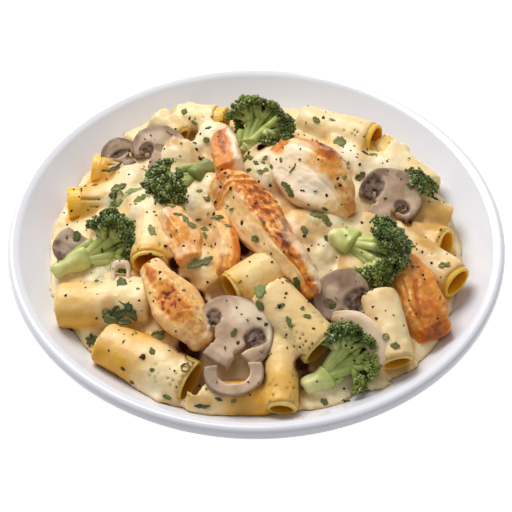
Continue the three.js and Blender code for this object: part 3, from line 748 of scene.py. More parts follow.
def chicken():
    M = chicken_mat()
    made = []

    def piece(node, paint, **kw):
        P, F3, F4, loc = chicken_mesh(node, **kw)
        if not outward(P, F3, F4):
            F3, F4 = F3[:, ::-1], F4[:, ::-1]
        sear, cream = paint(P, loc[:, 0], loc[:, 1], loc[:, 2])
        b = Mesh()
        b.add(P, F3, F4, sear=np.clip(sear, 0, 1), sauce=np.clip(cream, 0, 1))
        made.append(b.build(node.replace("chicken", "seared_chicken"), M, [node], "chicken"))

    def centre(P, t, x, y):
        n1, n2, n3 = fbm(P, 7, 3), fbm(P, 2.6, 4), fbm(P, 1.3, 6, 2)
        face = sstep(-0.3, 0.2, y)
        m1 = sstep(0.14, -0.22, x + 0.3 * n1) * sstep(0.68, 0.50, t + 0.08 * n1) * sstep(0.06, 0.14, t)
        s = m1 * np.clip(0.48 + 0.85 * n2 + 0.4 * n3, 0.15, 0.84)
        m2 = sstep(0.42, 0.12, np.abs(x + 0.1 + 0.2 * n1)) * sstep(0.52, 0.66, t)
        s = s + m2 * (0.30 + 0.22 * n2) + sstep(0.86, 0.98, t) * (0.28 + 0.2 * n2)
        s = s + 0.30 * sstep(-0.05, -0.35, x + 0.15 * n1) * sstep(0.46, 0.58, t) * sstep(0.90, 0.78, t) * (1 + 1.5 * n2)
        strands = sstep(0.16, 0.08, t + 0.02 * n1)
        s = s + strands * (0.16 + 0.34 * sstep(0.2, 0.9, np.cos(t * 105 + x * 2.2 + n1 * 2)))
        s = s + 0.07 + 0.06 * n1
        c = 0.6 * sstep(0.55, 0.8, -x + 0.25 * n1) * sstep(0.34, 0.5, t) + 0.3 * sstep(0.25, 0.6, n1) * (1 - m1)
        return s * (0.78 + 0.22 * face), c * (1 - 0.7 * m1)

    def centre_relief(P, t, x, y):
        n1 = fbm(P, 6, 71)
        lengthways = 0.12 * np.sin(x * 15 + 2.6 * n1 + t * 5) * sstep(0.12, 0.2, t)
        across = 0.55 * np.cos(t * 105 + x * 2.2 + n1 * 2) * sstep(0.17, 0.1, t)
        groove = -0.9 * np.exp(-(((x - 0.10 + 0.12 * n1) / 0.09) ** 2)) * sstep(0.45, 0.6, t)
        pits = -0.5 * sstep(0.25, 0.6, fbm(P, 2.2, 72)) * sstep(0.2, -0.1, x)
        return (lengthways + across + groove + pits) * sstep(0.0, 0.4, y)

    def chunk(P, t, x, y):
        n1, n2 = fbm(P, 8, 13), fbm(P, 2.8, 14)
        arc = sstep(-0.56, -0.76, x + 0.1 * n1) * sstep(0.60, 0.50, t) * sstep(0.0, 0.1, t)
        arc = np.maximum(arc, sstep(0.22, 0.09, t + 0.03 * n1) * sstep(0.35, -0.15, x + 0.1 * n1))
        flank = sstep(0.12, -0.22, x + 0.2 * n1) * sstep(0.28, 0.46, t)
        hook = np.exp(-(((t - 0.52) / 0.05) ** 2 + ((x + 0.6) / 0.16) ** 2))
        s = arc * np.clip(0.48 + 0.30 * n2, 0.2, 0.75) + flank * (0.25 + 0.12 * n2) + 0.16 * hook
        s = s + 0.10 * sstep(0.82, 0.98, t + 0.05 * n1) + 0.04 * sstep(0.4, 0.8, x)
        c = np.maximum(sstep(-0.30, 0.05, x + 0.16 * n1), sstep(0.42, 0.3, t)) * sstep(0.9, 0.66, t + 0.1 * n1) * (1 - arc)
        return s * (1 - 0.6 * c), 0.95 * c * sstep(-0.3, 0.2, y)

    def chunk_relief(P, t, x, y):
        n1 = fbm(P, 6, 73)
        lip = 1.1 * np.exp(-(((x + 0.78 + 0.06 * n1) / 0.10) ** 2)) * sstep(0.66, 0.5, t) - 0.8 * np.exp(-(((x + 0.58 + 0.06 * n1) / 0.07) ** 2)) * sstep(0.62, 0.48, t)
        hook = 1.0 * np.exp(-(((t - 0.52) / 0.05) ** 2 + ((x + 0.66) / 0.18) ** 2))
        fold = -0.6 * np.exp(-(((x + 0.05 - 0.3 * (t - 0.5) + 0.1 * n1) / 0.07) ** 2)) * sstep(0.3, 0.5, t)
        return (lip + hook + fold) * sstep(0.0, 0.35, y)

    def top(P, t, x, y):
        n1, n2 = fbm(P, 6, 23), fbm(P, 2.4, 24)
        stripe = sstep(0.30, 0.05, np.abs(x - 0.25 + 0.25 * n1)) + 0.6 * sstep(0.22, 0.05, np.abs(x + 0.45 + 0.2 * n1))
        return sstep(0.0, 0.5, y) * (0.22 + 0.36 * stripe * sstep(1.0, 0.75, t) + 0.18 * n2) + 0.20, np.maximum(0.2 * sstep(0.3, 0.7, n1 + 0.5 * np.maximum(-x, 0)), 0.85 * sstep(-0.22, -0.55, x + 0.25 * n1))

    def left(P, t, x, y):
        n1, n2 = fbm(P, 7, 33), fbm(P, 4, 34)
        edge = sstep(0.62, 0.85, np.maximum(np.abs(x), np.abs(2 * t - 1)))
        return 0.37 + 0.18 * n2 - 0.1 * edge, 0.40 * edge * sstep(-0.3, 0.4, n1 + 0.1)

    def middle(P, t, x, y):
        n1, n2 = fbm(P, 7, 43), fbm(P, 4, 44)
        return 0.14 + 0.14 * n2 + 0.42 * sstep(0.45, 0.9, -x + 0.2 * n1) + 0.2 * sstep(0.8, 1.0, t), 0.5 * sstep(0.0, 0.6, n1 + x * 0.4)

    def front(P, t, x, y):
        n1, n2, n3 = fbm(P, 6, 53), fbm(P, 2.4, 54), fbm(P, 1.2, 55, 2)
        main = sstep(1.0, 0.45, np.hypot((t - 0.50) * 3.2, (x + 0.02) * 1.25) + 0.3 * n1)
        spot = sstep(1.0, 0.5, np.hypot((t - 0.10) * 7.5, (x - 0.1) * 2.4) + 0.3 * n1)
        dark = sstep(0.05, 0.35, n2 + 0.3 * n3) * sstep(1.0, 0.6, np.hypot((t - 0.40) * 5.0, (x - 0.15) * 1.6))
        s = 0.19 + 0.07 * n1 + main * (0.26 + 0.22 * n2) + spot * (0.40 + 0.2 * n2) + 0.40 * dark + 0.06 * sstep(0.75, 0.95, t)
        return s, 0.3 * sstep(0.95, 1.2, np.hypot((t - 0.5) * 2.0, x) + 0.35 * n1) * sstep(-0.2, 0.4, y)

    def front_relief(P, t, x, y):
        return (0.5 * fbm(P, 3.2, 74, 2) - 0.6 * sstep(0.1, 0.4, fbm(P, 2.4, 54)) * sstep(1.0, 0.6, np.hypot((t - 0.45) * 3.0, x))) * sstep(0.0, 0.4, y)

    def crease(t, x, n1):
        return np.abs(x + 0.62 - 0.95 * t + 0.12 * n1)

    def right(P, t, x, y):
        n1, n2 = fbm(P, 6, 63), fbm(P, 2.4, 64)
        s = 0.30 + 0.14 * n2 + 0.14 * n1 + 0.10 * sstep(0.2, -0.6, x)
        # the sear is darker along the crease: painted shade in the crease
        s = s + 0.26 * sstep(0.14, 0.03, crease(t, x, n1)) * sstep(0.32, 0.45, t) * sstep(0.85, 0.7, t) + 0.14 * sstep(0.5, 0.75, t) * sstep(0.9, 0.3, np.abs(x + 0.1))
        s = s + 0.22 * sstep(0.97, 1.0, t) * sstep(0.35, 0.75, y) + 0.10 * sstep(0.35, 0.1, t)
        return s, 0.3 * sstep(0.75, 0.95, -x + 0.3 * n1) * sstep(0.35, 0.15, t)

    def right_relief(P, t, x, y):
        n1 = fbm(P, 6, 63)
        cr = -1.0 * np.exp(-((crease(t, x, n1) / 0.08) ** 2)) * sstep(0.3, 0.45, t) * sstep(0.86, 0.7, t)
        cr2 = -0.7 * np.exp(-((np.abs(x - 0.25 - 0.3 * t + 0.15 * n1) / 0.06) ** 2)) * sstep(0.3, 0.45, t) * sstep(0.85, 0.7, t)
        return (cr + cr2 + 0.3 * np.sin(x * 12 + 3 * n1)) * sstep(0.0, 0.4, y)

    piece("chicken_strip_centre", centre, rows=126, cols=150, seed=2, cuts=[((0.55, 0.84, 0), 8.4), ((-0.75, 0.66, 0), 9.0), ((-0.2, 0.95, -0.9), 13)], relief=centre_relief)
    piece("chicken_chunk_back", chunk, rows=90, cols=160, seed=12, cuts=[((0.10, 0.97, -0.36), 8.8), ((0.1, 0.98, 0.12), 10.2), ((0.6, 0.3, 0.9), 15), ((-0.95, 0.3, 0.2), 15)], fibre=0.22, square=2.4, relief=chunk_relief)
    piece("chicken_bite_top", top, rows=56, cols=90, seed=22, cuts=[((0.3, 0.95, 0), 6.4)], fibre=0.45)
    piece("chicken_bite_left", left, rows=56, cols=90, seed=32, cuts=[((-0.5, 0.86, 0.2), 5.6), ((0.6, 0.8, 0), 6.4)], fibre=0.4)
    piece("chicken_bite_middle", middle, rows=60, cols=90, seed=42, cuts=[((-0.35, 0.93, 0), 5.6), ((0.95, 0.3, 0), 4.4)], fibre=0.4)
    piece("chicken_strip_front_left", front, rows=100, cols=130, seed=52, cuts=[((0.15, 0.98, 0.1), 8.8), ((-0.85, 0.5, 0), 8.4)], relief=front_relief, square=2.6)
    piece("chicken_strip_right", right, rows=100, cols=130, seed=62, cuts=[((-0.30, 0.95, 0), 7.4), ((0.62, 0.78, 0), 8.6)], relief=right_relief)
    return made


# ------------------------------------------------------------------ mushrooms
MUSHROOM = {
    "mushroom_back_left": ((-47.6, 50.4, 47), -88, 27, 23, 5),
    "mushroom_far_left": ((-67, 48.2, 44), -130, 19, 18, 5),
    "mushroom_left": ((-85.9, -11.9, 43), 120, 18, 18, 5),
    "mushroom_right": ((64.2, 14.6, 49), -58, 31, 28, 5),
    "mushroom_front": ((-9.5, -70.6, 51.5), -60, 36, 32, 5),
    "mushroom_front_low": ((-9.6, -89.2, 46.5), 85, 26, 22, 6),
    "mushroom_centre_right": ((38.2, -49.5, 50), -125, 27, 24, 5),
    "mushroom_end_right": ((47.3, -69.1, 48), -35, 18, 13, 4),
    "mushroom_bit_left": ((-61.2, -35.2, 49.5), -90, 9, 13, 4),
}


# gills seen on each slice: place across and along the slice, half sizes, turn, strength, pale middle
GILLS = {
    "mushroom_back_left": [(-0.43, -0.18, 0.27, 0.34, 0.2, 1.0, 0), (0.12, -0.15, 0.30, 0.20, 0.4, 0.45, 0)],
    "mushroom_far_left": [(-0.05, 0.0, 0.50, 0.20, 0.25, 0.9, 0), (0.30, -0.50, 0.25, 0.16, 0.0, 0.7, 0)],
    "mushroom_right": [(-0.60, -0.14, 0.33, 0.50, -0.1, 1.0, 0), (0.50, -0.18, 0.27, 0.24, 0.3, 1.0, 1)],
    "mushroom_front": [(-0.60, 0.02, 0.19, 0.25, -0.3, 1.0, 0), (0.54, 0.14, 0.25, 0.34, 0.35, 1.0, 0)],
    "mushroom_centre_right": [(0.36, -0.52, 0.52, 0.46, 0.5, 1.0, 0), (-0.52, 0.0, 0.16, 0.26, -0.3, 0.7, 0)],
}


def gill_field(node, u, v):
    g = np.zeros_like(u)
    for gu, gv, ru, rv, turn, k, ring in GILLS.get(node, []):
        ca, sa = math.cos(turn), math.sin(turn)
        d = np.hypot(((u - gu) * ca - (v - gv) * sa) / ru, ((u - gu) * sa + (v - gv) * ca) / rv)
        a = sstep(1.15, 0.8, d)
        if ring:
            a = a * sstep(0.30, 0.48, d)
        g = np.maximum(g, k * a)
    return g


def mushroom_frame(spec):
    c, turn, w, h, t = spec
    normal = unit(FACE * 0.5 + Z * 0.5)
    a = math.radians(turn)
    axis = ACROSS * math.cos(a) - UPHILL * math.sin(a)
    axis = unit(axis - normal * axis.dot(normal))
    side = np.cross(axis, normal)
    return np.array(c, float), side, axis, normal, w, h, t


def seg_dist(X, Y, ax, ay, bx, by):
    px, py = X - ax, Y - ay
    dx, dy = bx - ax, by - ay
    t = np.clip((px * dx + py * dy) / (dx * dx + dy * dy), 0, 1)
    return np.hypot(px - t * dx, py - t * dy), t


def mushrooms():
    M = mushroom_mat()
    for i, (node, spec) in enumerate(MUSHROOM.items()):
        C, side, axis, normal, w, h, thick = mushroom_frame(spec)
        hs = 0.5 if w > 15 else 0.3
        xs = np.arange(-w / 2 - 2.5, w / 2 + 2.5, hs)
        ys = np.arange(-h / 2 - 2.5, h / 2 + 2.5, hs)
        zs = np.arange(-thick / 2 - 3.2, thick / 2 + 3.2, hs)
        X, Y, Zg = np.meshgrid(xs, ys, zs, indexing="ij")
        # each slice sags and curls a little
        curl = 1.6 * (X / w) ** 2 * 4 * (0.5 + 0.5 * math.sin(i * 1.9)) + 0.5 * np.sin(X * 0.35 + i) * np.cos(Y * 0.3 + i)
        Zc = Zg + curl
        u, v = X / (w / 2), Y / (h / 2)
        wob = 0.05 * fbm(np.stack([X.ravel(), Y.ravel(), 0 * X.ravel() + 40 * i], -1), 7, 70 + i, 2).reshape(X.shape)
        kind = {"mushroom_front_low": "arch", "mushroom_bit_left": "arch", "mushroom_left": "cap", "mushroom_end_right": "none"}.get(node, "full")
        full = kind == "full"
        if kind == "none":
            continue
        if kind == "cap":
            d = np.maximum(np.hypot(u, v / 1.0) - 1.0, -(v + 0.75))
            d = (d + wob) * (w / 2) * 0.8
            gill = 0.5 * sstep(0.35, 0.1, np.abs(v - 0.36 + 0.3 * u * u)) * sstep(0.8, 0.6, np.abs(u))
        elif full:
            # cap: an upright half round whose edge curls in under the gills
            cap = np.hypot(u * 1.0, (v - 0.12) * (0.62 + 0.5 * sstep(0.1, -0.4, v))) - 1.0 + 0.12
            cap = np.maximum(np.hypot(u / 1.0, (v - 0.02) / 0.98) - 1.0, -(v + 0.42 + 0.12 * np.abs(u)))
            stem_half = 0.30 + 0.05 * (v < -0.6) - 0.04 * np.cos(v * 2)
            stem = np.maximum(np.abs(u) - stem_half, np.maximum(-(v + 1.0), v - 0.4))
            gap, _ = seg_dist(np.abs(u), v, 0.36, -0.55, 0.5, -0.16)
            gap = 0.12 - gap  # the slot between the stem and the curled-in edge of the cap
            d = np.minimum(cap, stem)
            if node != "mushroom_centre_right":
                d = np.maximum(d, gap - 0.06)
            d = (d + wob) * (w / 2) * 0.8
            gill = gill_field(node, u, v)
        else:
            square = node == "mushroom_bit_left"
            arc = ((np.abs(u) ** 4 + np.abs(v) ** 4) ** 0.25 if square else np.hypot(u, v)) - 1.0
            hollow = (0.54 - (np.abs(u) ** 4 + np.abs(v + 0.1) ** 4 * (v > -0.1)) ** 0.25) if square else 0.56 - np.hypot(u * 1.02, v + 0.02)
            d = (np.maximum(np.maximum(arc, hollow), -(v + (0.92 if square else 0.30))) + wob) * (w / 2) * 0.8
            gill = np.zeros_like(u)
        # the gills sit a little lower than the flesh, with fine fins
        fins = 0.35 * np.cos(np.arctan2(v + 0.5, np.abs(u) - 0.2) * 38)
        halfz = thick / 2 - gill * (1.1 + fins * 0.5)
        dz = np.abs(Zc) - halfz
        r = 0.9
        qx, qz = np.maximum(d + r, 0), np.maximum(dz + r, 0)
        F = np.hypot(qx, qz) + np.minimum(np.maximum(d + r, dz + r), 0) - r
        F = F + 0.12 * fbm(np.stack([X.ravel(), Y.ravel(), Zg.ravel()], -1), 3, 80 + i, 2).reshape(X.shape)
        V, Q = surface_nets(F, (xs[0], ys[0], zs[0]), hs)
        lu, lv = V[:, 0] / (w / 2), V[:, 1] / (h / 2)
        w1 = 0.05 * fbm(V, 3, 96 + i)
        g = gill_field(node, lu + w1, lv + w1)
        rim = np.hypot(lu, (lv - 0.02) / 0.98)
        sk = sstep(0.90, 0.97, rim) * (lv > -0.45)
        sk = np.maximum(sk, 0.4 * sstep(0.76, 0.9, rim))
        if kind == "arch":
            g = 0.45 * sstep(0.30, 0.75, lu + 0.2 * fbm(V, 4, 97)) if node == "mushroom_front_low" else 0.7 * sstep(0.72, 0.62, rim) * sstep(0.0, 0.3, lu)
            sk = 0.8 * sstep(0.93, 0.99, rim)
        if kind == "cap":
            g = 0.35 * sstep(0.30, 0.12, np.abs(lv - 0.36 + 0.3 * lu * lu)) * sstep(0.8, 0.6, np.abs(lu))
            sk = np.maximum(sstep(0.48, 0.62, rim + 0.1 * fbm(V, 4, 7)) * sstep(-0.2, 0.3, lv), 0.55 + 0.5 * fbm(V, 4, 9))
        # painted shade: the whole face of this slice takes the darker skin colour
        if node == "mushroom_centre_right":
            sk = np.maximum(sk, 0.78 + 0.5 * fbm(V, 5, 98))
        if node == "mushroom_right":
            sk = np.maximum(sk, 0.9 * sstep(0.55, 0.75, rim + 0.1 * fbm(V, 5, 99)) * sstep(0.15, 0.55, lv - 0.35 * lu))
            sk = np.maximum(sk, 0.35 + 0.3 * fbm(V, 5, 98))
        if node in ("mushroom_far_left", "mushroom_back_left"):
            sk = np.maximum(sk, 0.6 * sstep(0.6, 0.9, rim) + (0.5 if node == "mushroom_far_left" else 0.1))
        cream = 0.35 * sstep(0.1, 0.6, fbm(V, 6, 90 + i)) * (1 - g)
        if node == "mushroom_bit_left":
            cream = 0.75 + 0 * g
        if node == "mushroom_front":
            cream = np.maximum(cream, 0.85 * sstep(0.25, 0.6, lv + 0.35 * lu + 0.5 * fbm(V, 6, 190)) * (1 - g) * sstep(0.97, 0.85, rim))
        W3 = C + V[:, 0:1] * side + V[:, 1:2] * axis + V[:, 2:3] * normal
        if not outward(W3, Q[:, :3], Q):
            Q = Q[:, ::-1]
        b = Mesh()
        b.add(W3, None, Q, gill=np.clip(g * (0.75 + 0.5 * fbm(V, 1.6, 95 + i)), 0, 1), skin=sk, sauce=cream)
        b.build(node.replace("mushroom", "mushroom_slice"), M, [node], "mushroom")
    # one slice hangs over the end of the right-hand tube, seen along its edge
    path = np.array([(37.0, -55.5, 50.5), (41.5, -58.5, 51.5), (46.5, -61.5, 51.8), (51.0, -66.6, 50.8), (54.2, -72.4, 49.2), (55.6, -78.0, 46.8), (55.4, -82.0, 44.0)])
    n = 46
    t = np.linspace(0, 1, n)
    k = t * (len(path) - 1)
    i0 = np.minimum(k.astype(int), len(path) - 2)
    c = path[i0] + (path[i0 + 1] - path[i0]) * (k - i0)[:, None]
    for _ in range(6):
        c[1:-1] = (c[:-2] + 2 * c[1:-1] + c[2:]) / 4
    c = c - np.array([2.2, 0.4, 0.4]) - UPHILL * (4.2 * (1 - t))[:, None]
    T = np.gradient(c, axis=0)
    T /= np.linalg.norm(T, axis=1, keepdims=True)
    out = np.cross(FACE, T)
    out = -out / np.linalg.norm(out, axis=1, keepdims=True)
    nr = np.cross(T, out)
    nr = np.where((nr @ FACE)[:, None] < 0, -nr, nr)
    m = 26
    th = np.linspace(0, 2 * math.pi, m, endpoint=False)
    half = 5.5 * np.sin(np.pi * np.clip(t * 0.86 + 0.08, 0, 1)) ** 0.6
    ex = np.sign(np.cos(th)) * np.abs(np.cos(th)) ** 0.5
    ey = np.sign(np.sin(th)) * np.abs(np.sin(th)) ** 0.6
    V = c[:, None, :] + out[:, None, :] * (half[:, None] * ex[None, :])[..., None] + nr[:, None, :] * (1.6 + 1.15 * ey[None, :] + 0.35 * np.sin(ex * 4 + t[:, None] * 9))[..., None]
    V = V.reshape(-1, 3)
    X = np.tile(ex, n)
    V = np.vstack([V, c[0] - T[0] * 0.6, c[-1] + T[-1] * 0.6])
    X = np.append(X, [0, 0])
    F4 = grid_faces(n, m, True)
    q = np.arange(m)
    a, z = n * m, n * m + 1
    F3 = np.concatenate([np.stack([np.full(m, a), (q + 1) % m, q], -1), np.stack([np.full(m, z), (n - 1) * m + q, (n - 1) * m + (q + 1) % m], -1)])
    if not outward(V, F3, F4):
        F3, F4 = F3[:, ::-1], F4[:, ::-1]
    side = 1.0
    b = Mesh()
    b.add(V, F3, F4, skin=sstep(0.80, 0.97, X * side), gill=0.25 * sstep(0.2, 0.5, X * side) * sstep(0.85, 0.7, X * side), sauce=0.55 * sstep(0.2, -0.6, X * side))
    b.build("mushroom_slice_end_right", M, ["mushroom_end_right"], "mushroom")


# ------------------------------------------------------------------ broccoli
BROCCOLI = {
    "broccoli_back": ((-7.3, 44.4, 50.5), (0.1, 56.4, 53.4), 16.9),
    "broccoli_back_left": ((-20.8, 29.8, 53), (-38.4, 16.8, 52.6), 15),
    "broccoli_left": ((-94.4, -23.1, 38), (-68.5, -14.5, 45.5), 15),
    "broccoli_right": ((34.3, -14.6, 52.2), (54.0, -26.4, 54.2), 16.2),
    "broccoli_back_right": ((82.5, 4.0, 41.5), (80.0, 19.4, 43.2), 12),
    "broccoli_front_right": ((21.0, -92.4, 38), (38.2, -79.4, 43), 15.5),
}
# leaves of the crumb: place, length, width (mm), direction in the picture plane (degrees)
CRUMB = [
    (-64.5, -59.5, 45.5, 6.0, 3.2, 20), (-60.5, -56.5, 46.5, 6.5, 3.0, -30), (-55.2, -56.5, 46.5, 6.0, 3.0, 60), (-61.0, -49.5, 47.5, 7.0, 3.2, 80),
    (-57.2, -43.5, 48.5, 6.5, 2.8, 100), (-53.0, -50.5, 47.5, 5.5, 2.8, 30), (-65.0, -51.5, 46.5, 5.5, 2.6, 130), (-59.0, -41.0, 48.5, 5.0, 2.4, 60),
    (-62.0, -43.8, 48.5, 4.5, 2.4, 150), (-55.8, -49.0, 48.5, 5.5, 2.6, -10), (-66.5, -56.5, 45.5, 4.5, 2.4, 70), (-58.5, -60.5, 45.5, 5.0, 2.4, 10),
    (-60.0, -53.0, 47.5, 5.0, 3.0, 45), (-57.0, -54.0, 48.0, 5.0, 2.6, 110), (-63.0, -55.0, 46.8, 5.0, 2.6, -60),
]
_ico = None


def ico():
    """A 12-point ball."""
    global _ico
    if _ico is None:
        g = (1 + 5**0.5) / 2
        v = np.array([(-1, g, 0), (1, g, 0), (-1, -g, 0), (1, -g, 0), (0, -1, g), (0, 1, g), (0, -1, -g), (0, 1, -g), (g, 0, -1), (g, 0, 1), (-g, 0, -1), (-g, 0, 1)], float)
        v /= np.linalg.norm(v[0])
        f = np.array([(0, 11, 5), (0, 5, 1), (0, 1, 7), (0, 7, 10), (0, 10, 11), (1, 5, 9), (5, 11, 4), (11, 10, 2), (10, 7, 6), (7, 1, 8), (3, 9, 4), (3, 4, 2), (3, 2, 6), (3, 6, 8), (3, 8, 9), (4, 9, 5), (2, 4, 11), (6, 2, 10), (8, 6, 7), (9, 8, 1)])
        _ico = (v, f)
    return _ico


def limb(M, pts, radii, sides=9, lump=0.0, **attrs):
    """A tapered, closed tube through points."""
    pts = np.asarray(pts, float)
    T = np.gradient(pts, axis=0)
    T /= np.linalg.norm(T, axis=1, keepdims=True)
    up = unit(np.cross(T[0], unit(np.array([0.3, 0.5, 0.8]))))
    rows = []
    th = np.linspace(0, 2 * math.pi, sides, endpoint=False)
    for q, (p, t, r) in enumerate(zip(pts, T, radii)):
        up = unit(up - t * up.dot(t))
        w = np.cross(t, up)
        rr = r * (1 + lump * (np.sin(3 * th + q * 0.35 + pts[0, 0]) + 0.6 * np.sin(5 * th - q * 0.5 + pts[0, 1])))
        rows.append(p + rr[:, None] * (np.cos(th)[:, None] * up + np.sin(th)[:, None] * w))
    n = len(rows)
    V = np.vstack(rows + [pts[0][None], pts[-1][None]])
    F4 = grid_faces(n, sides, True)
    k = np.arange(sides)
    a, b = n * sides, n * sides + 1
    F3 = np.concatenate([np.stack([np.full(sides, a), (k + 1) % sides, k], -1), np.stack([np.full(sides, b), (n - 1) * sides + k, (n - 1) * sides + (k + 1) % sides], -1)])
    if not outward(V, F3, F4):
        F3, F4 = F3[:, ::-1], F4[:, ::-1]
    at = {k2: (np.concatenate([np.repeat(np.broadcast_to(v, (n,)), sides), [np.broadcast_to(v, (n,))[0], np.broadcast_to(v, (n,))[-1]]])) for k2, v in attrs.items()}
    M.add(V, F3, F4, **at)


def broccoli():
    stem_m, bud_m = broccoli_stem_mat(), broccoli_bud_mat()
    bv, bf = ico()
    golden = math.pi * (3 - 5**0.5)
    # the crumb at the left front is a clump of small dark leaves
    rng = np.random.default_rng(290)
    crumb = Mesh()
    for x, y, z, L, W, ang in CRUMB:
        a = math.radians(ang)
        e1 = ACROSS * math.cos(a) - UPHILL * math.sin(a)
        n = unit(FACE + 0.5 * Z + rng.normal(0, 0.25, 3))
        e1 = unit(e1 - n * (e1 @ n))
        blade(crumb, np.array([x, y, z]), e1, np.cross(n, e1), n, L * 1.25, W * 1.35, rng.uniform(0.1, 0.5), rng.uniform(0.1, 0.5), rng.uniform(-0.3, 0.3), rng.uniform(0.6, 1.0), rng)
    crumb.build("leaf_crumb_left", herb_mat(), ["broccoli_crumb_left"], "broccoli")
    for i, (node, (cut, crown, R)) in enumerate(BROCCOLI.items()):
        rng = np.random.default_rng(300 + i)
        # some florets are cut lengthways and show their boughs
        show = {"broccoli_back": 0.30, "broccoli_right": 0.60, "broccoli_front_right": 0.32, "broccoli_left": 0.5}.get(node, 2.0)
        S, C = np.array(cut, float), np.array(crown, float)
        ax = unit(C - S)
        sd = unit(np.cross(ax, FACE))
        up = np.cross(sd, ax)
        ls = np.linalg.norm(C - S)
        stems, buds = Mesh(), Mesh()
        small = R < 9
        base_r = R * {"broccoli_back_left": 0.31, "broccoli_right": 0.29}.get(node, 0.25)
        fork = S + ax * min(max(ls - R * 0.75, ls * 0.2), ls * 0.6)
        # main stem: a fat stub with a flat cut end
        n = 16
        tt = np.linspace(0, 1, n)
        pts = S + (fork + ax * R * 0.12 - S) * tt[:, None] + sd * (0.9 * np.sin(tt * 3 + i))[:, None]
        rad = base_r * (1.0 + 0.40 * sstep(0.2, 1.0, tt) + 0.06 * np.sin(tt * 9 + i))
        rad[0] *= 0.72
        rad[1] *= 0.93
        rad[-1] *= 0.8
        # painted shade: the stems of the back, back-left and back-right florets are darkened toward olive
        painted_stem_shade = {"broccoli_back_left": 0.62, "broccoli_back_right": 0.5, "broccoli_back": 0.15}.get(node, 0.0)
        limb(stems, pts, rad, 26, lump=0.07, deep=0.10 * (1 - tt) + 0.05 + painted_stem_shade, sauce=(0.45 - 0.4 * painted_stem_shade) * (1 - tt))
        # a side shoot beside the stem
        if not small:
            u = np.linspace(0, 1, 7)
            o = sd * base_r * (0.9 if i % 2 else -0.9)
            q0, q1 = S + (fork - S) * 0.35 + o * 0.6, C + o * 1.6 - ax * R * 0.35
            qm = (q0 + q1) / 2 + o * 0.5
            limb(stems, ((1 - u) ** 2)[:, None] * q0 + (2 * u * (1 - u))[:, None] * qm + (u**2)[:, None] * q1, R * (0.10 + 0.03 * u), 12, lump=0.06, deep=0.55 - 0.3 * u, sauce=0.1)
        # boughs leave the stem, then split twice; the buds sit on the far side of the crown
        nb = 6 if small else max(8, int(11 * (R / 15)))
        tips = []
        for b in range(nb):
            f = (b + 0.5) / nb
            pol = math.acos(1 - f * (1 - math.cos(math.radians(92))))
            az = b * golden + rng.uniform(-0.25, 0.25)
            d = ax * math.cos(pol) + (sd * math.cos(az) + up * math.sin(az)) * math.sin(pol)
            if d @ up > show:
                d = unit(d - up * (d @ up - show * rng.uniform(0.2, 1.0)))
            end = C + d * R * 0.36 - ax * R * 0.06
            u = np.linspace(0, 1, 8)
            root = fork - ax * R * 0.22 * rng.uniform(0, 1)
            ctrl = fork + ax * R * 0.22 + d * R * 0.20
            pts = ((1 - u) ** 2)[:, None] * root + (2 * u * (1 - u))[:, None] * ctrl + (u**2)[:, None] * end
            limb(stems, pts, R * (0.155 - 0.04 * u), 12, lump=0.05, deep=0.02 + 0.12 * u + 0.7 * painted_stem_shade, sauce=0.25 * (1 - u))
            for c in range(3):
                a2 = c * 2.1 + rng.uniform(-0.4, 0.4)
                e1 = unit(np.cross(d, Z + 0.1))
                e2 = np.cross(d, e1)
                dd = unit(d + 0.36 * (e1 * math.cos(a2) + e2 * math.sin(a2)))
                if dd @ up > show:
                    dd = unit(dd - up * (dd @ up - show))
                mid = C + dd * R * 0.62
                limb(stems, np.array([end - d * R * 0.05, (end + mid) / 2 + d * R * 0.02, mid]), R * np.array([0.105, 0.09, 0.085]), 9, deep=np.array([0.1, 0.2, 0.35]), sauce=0.05)
                for g in range(3):
                    a3 = g * 2.1 + rng.uniform(-0.5, 0.5)
                    f1 = unit(np.cross(dd, Z + 0.2))
                    f2 = np.cross(dd, f1)
                    d3 = unit(dd + 0.2 * (f1 * math.cos(a3) + f2 * math.sin(a3)))
                    if d3 @ up > show + 0.1:
                        d3 = unit(d3 - up * (d3 @ up - show - 0.1))
                    tip = C + d3 * R * rng.uniform(0.80, 0.92) * (1 - (0.17 * sstep(0.70, 0.97, d3 @ (0.5 * ACROSS + 0.87 * UPHILL)) if node == "broccoli_back" else 0))
                    if show < 1 and rng.uniform() < 0.27:
                        # a short tuft that stands in front of the boughs
                        d3 = unit(d3 + up * rng.uniform(0.4, 1.1))
                        tip = mid + d3 * R * 0.16
                    limb(stems, np.array([mid - dd * R * 0.04, (mid + tip) / 2, tip]), R * np.array([0.07, 0.06, 0.06]), 7, deep=np.array([0.3, 0.5, 0.9]), sauce=0.0)
                    tips.append((tip, d3))
        # bud clusters: small domes of buds on every tip
        allP, allR, allT = [], [], []
        for tip, dd in tips:
            e1 = unit(np.cross(dd, Z + 0.13))
            e2 = np.cross(dd, e1)
            rad = R * rng.uniform(0.125, 0.17)
            m = int(17 * (R / 15) + 4)
            f = (np.arange(m) + 0.5) / m
            pol = np.arccos(1 - f * (1 - math.cos(math.radians(88))))
            az = np.arange(m) * golden + rng.uniform(0, 6)
            q = (e1 * (np.cos(az) * np.sin(pol))[:, None] + e2 * (np.sin(az) * np.sin(pol))[:, None] + dd * np.cos(pol)[:, None])
            pos = tip + q * rad * (1 + 0.14 * rng.normal(0, 1, (m, 1)))
            allP.append(pos)
            allR.append(R * 0.040 * rng.uniform(0.75, 1.35, m) * (0.75 + 0.4 * np.cos(pol)))
            # painted highlight: buds near the top of each dome get the lighter tip colour
            allT.append(sstep(0.6, 1.0, np.cos(pol)) * rng.uniform(0.1, 1, m))
            limb(stems, [tip - dd * rad * 0.3, tip + dd * rad * 0.15, tip + dd * rad * 0.7], np.array([0.5, 0.85, 0.4]) * rad, 8, deep=1.0, sauce=0.0)
        Pb, Rb, Tb = np.vstack(allP), np.concatenate(allR), np.concatenate(allT)
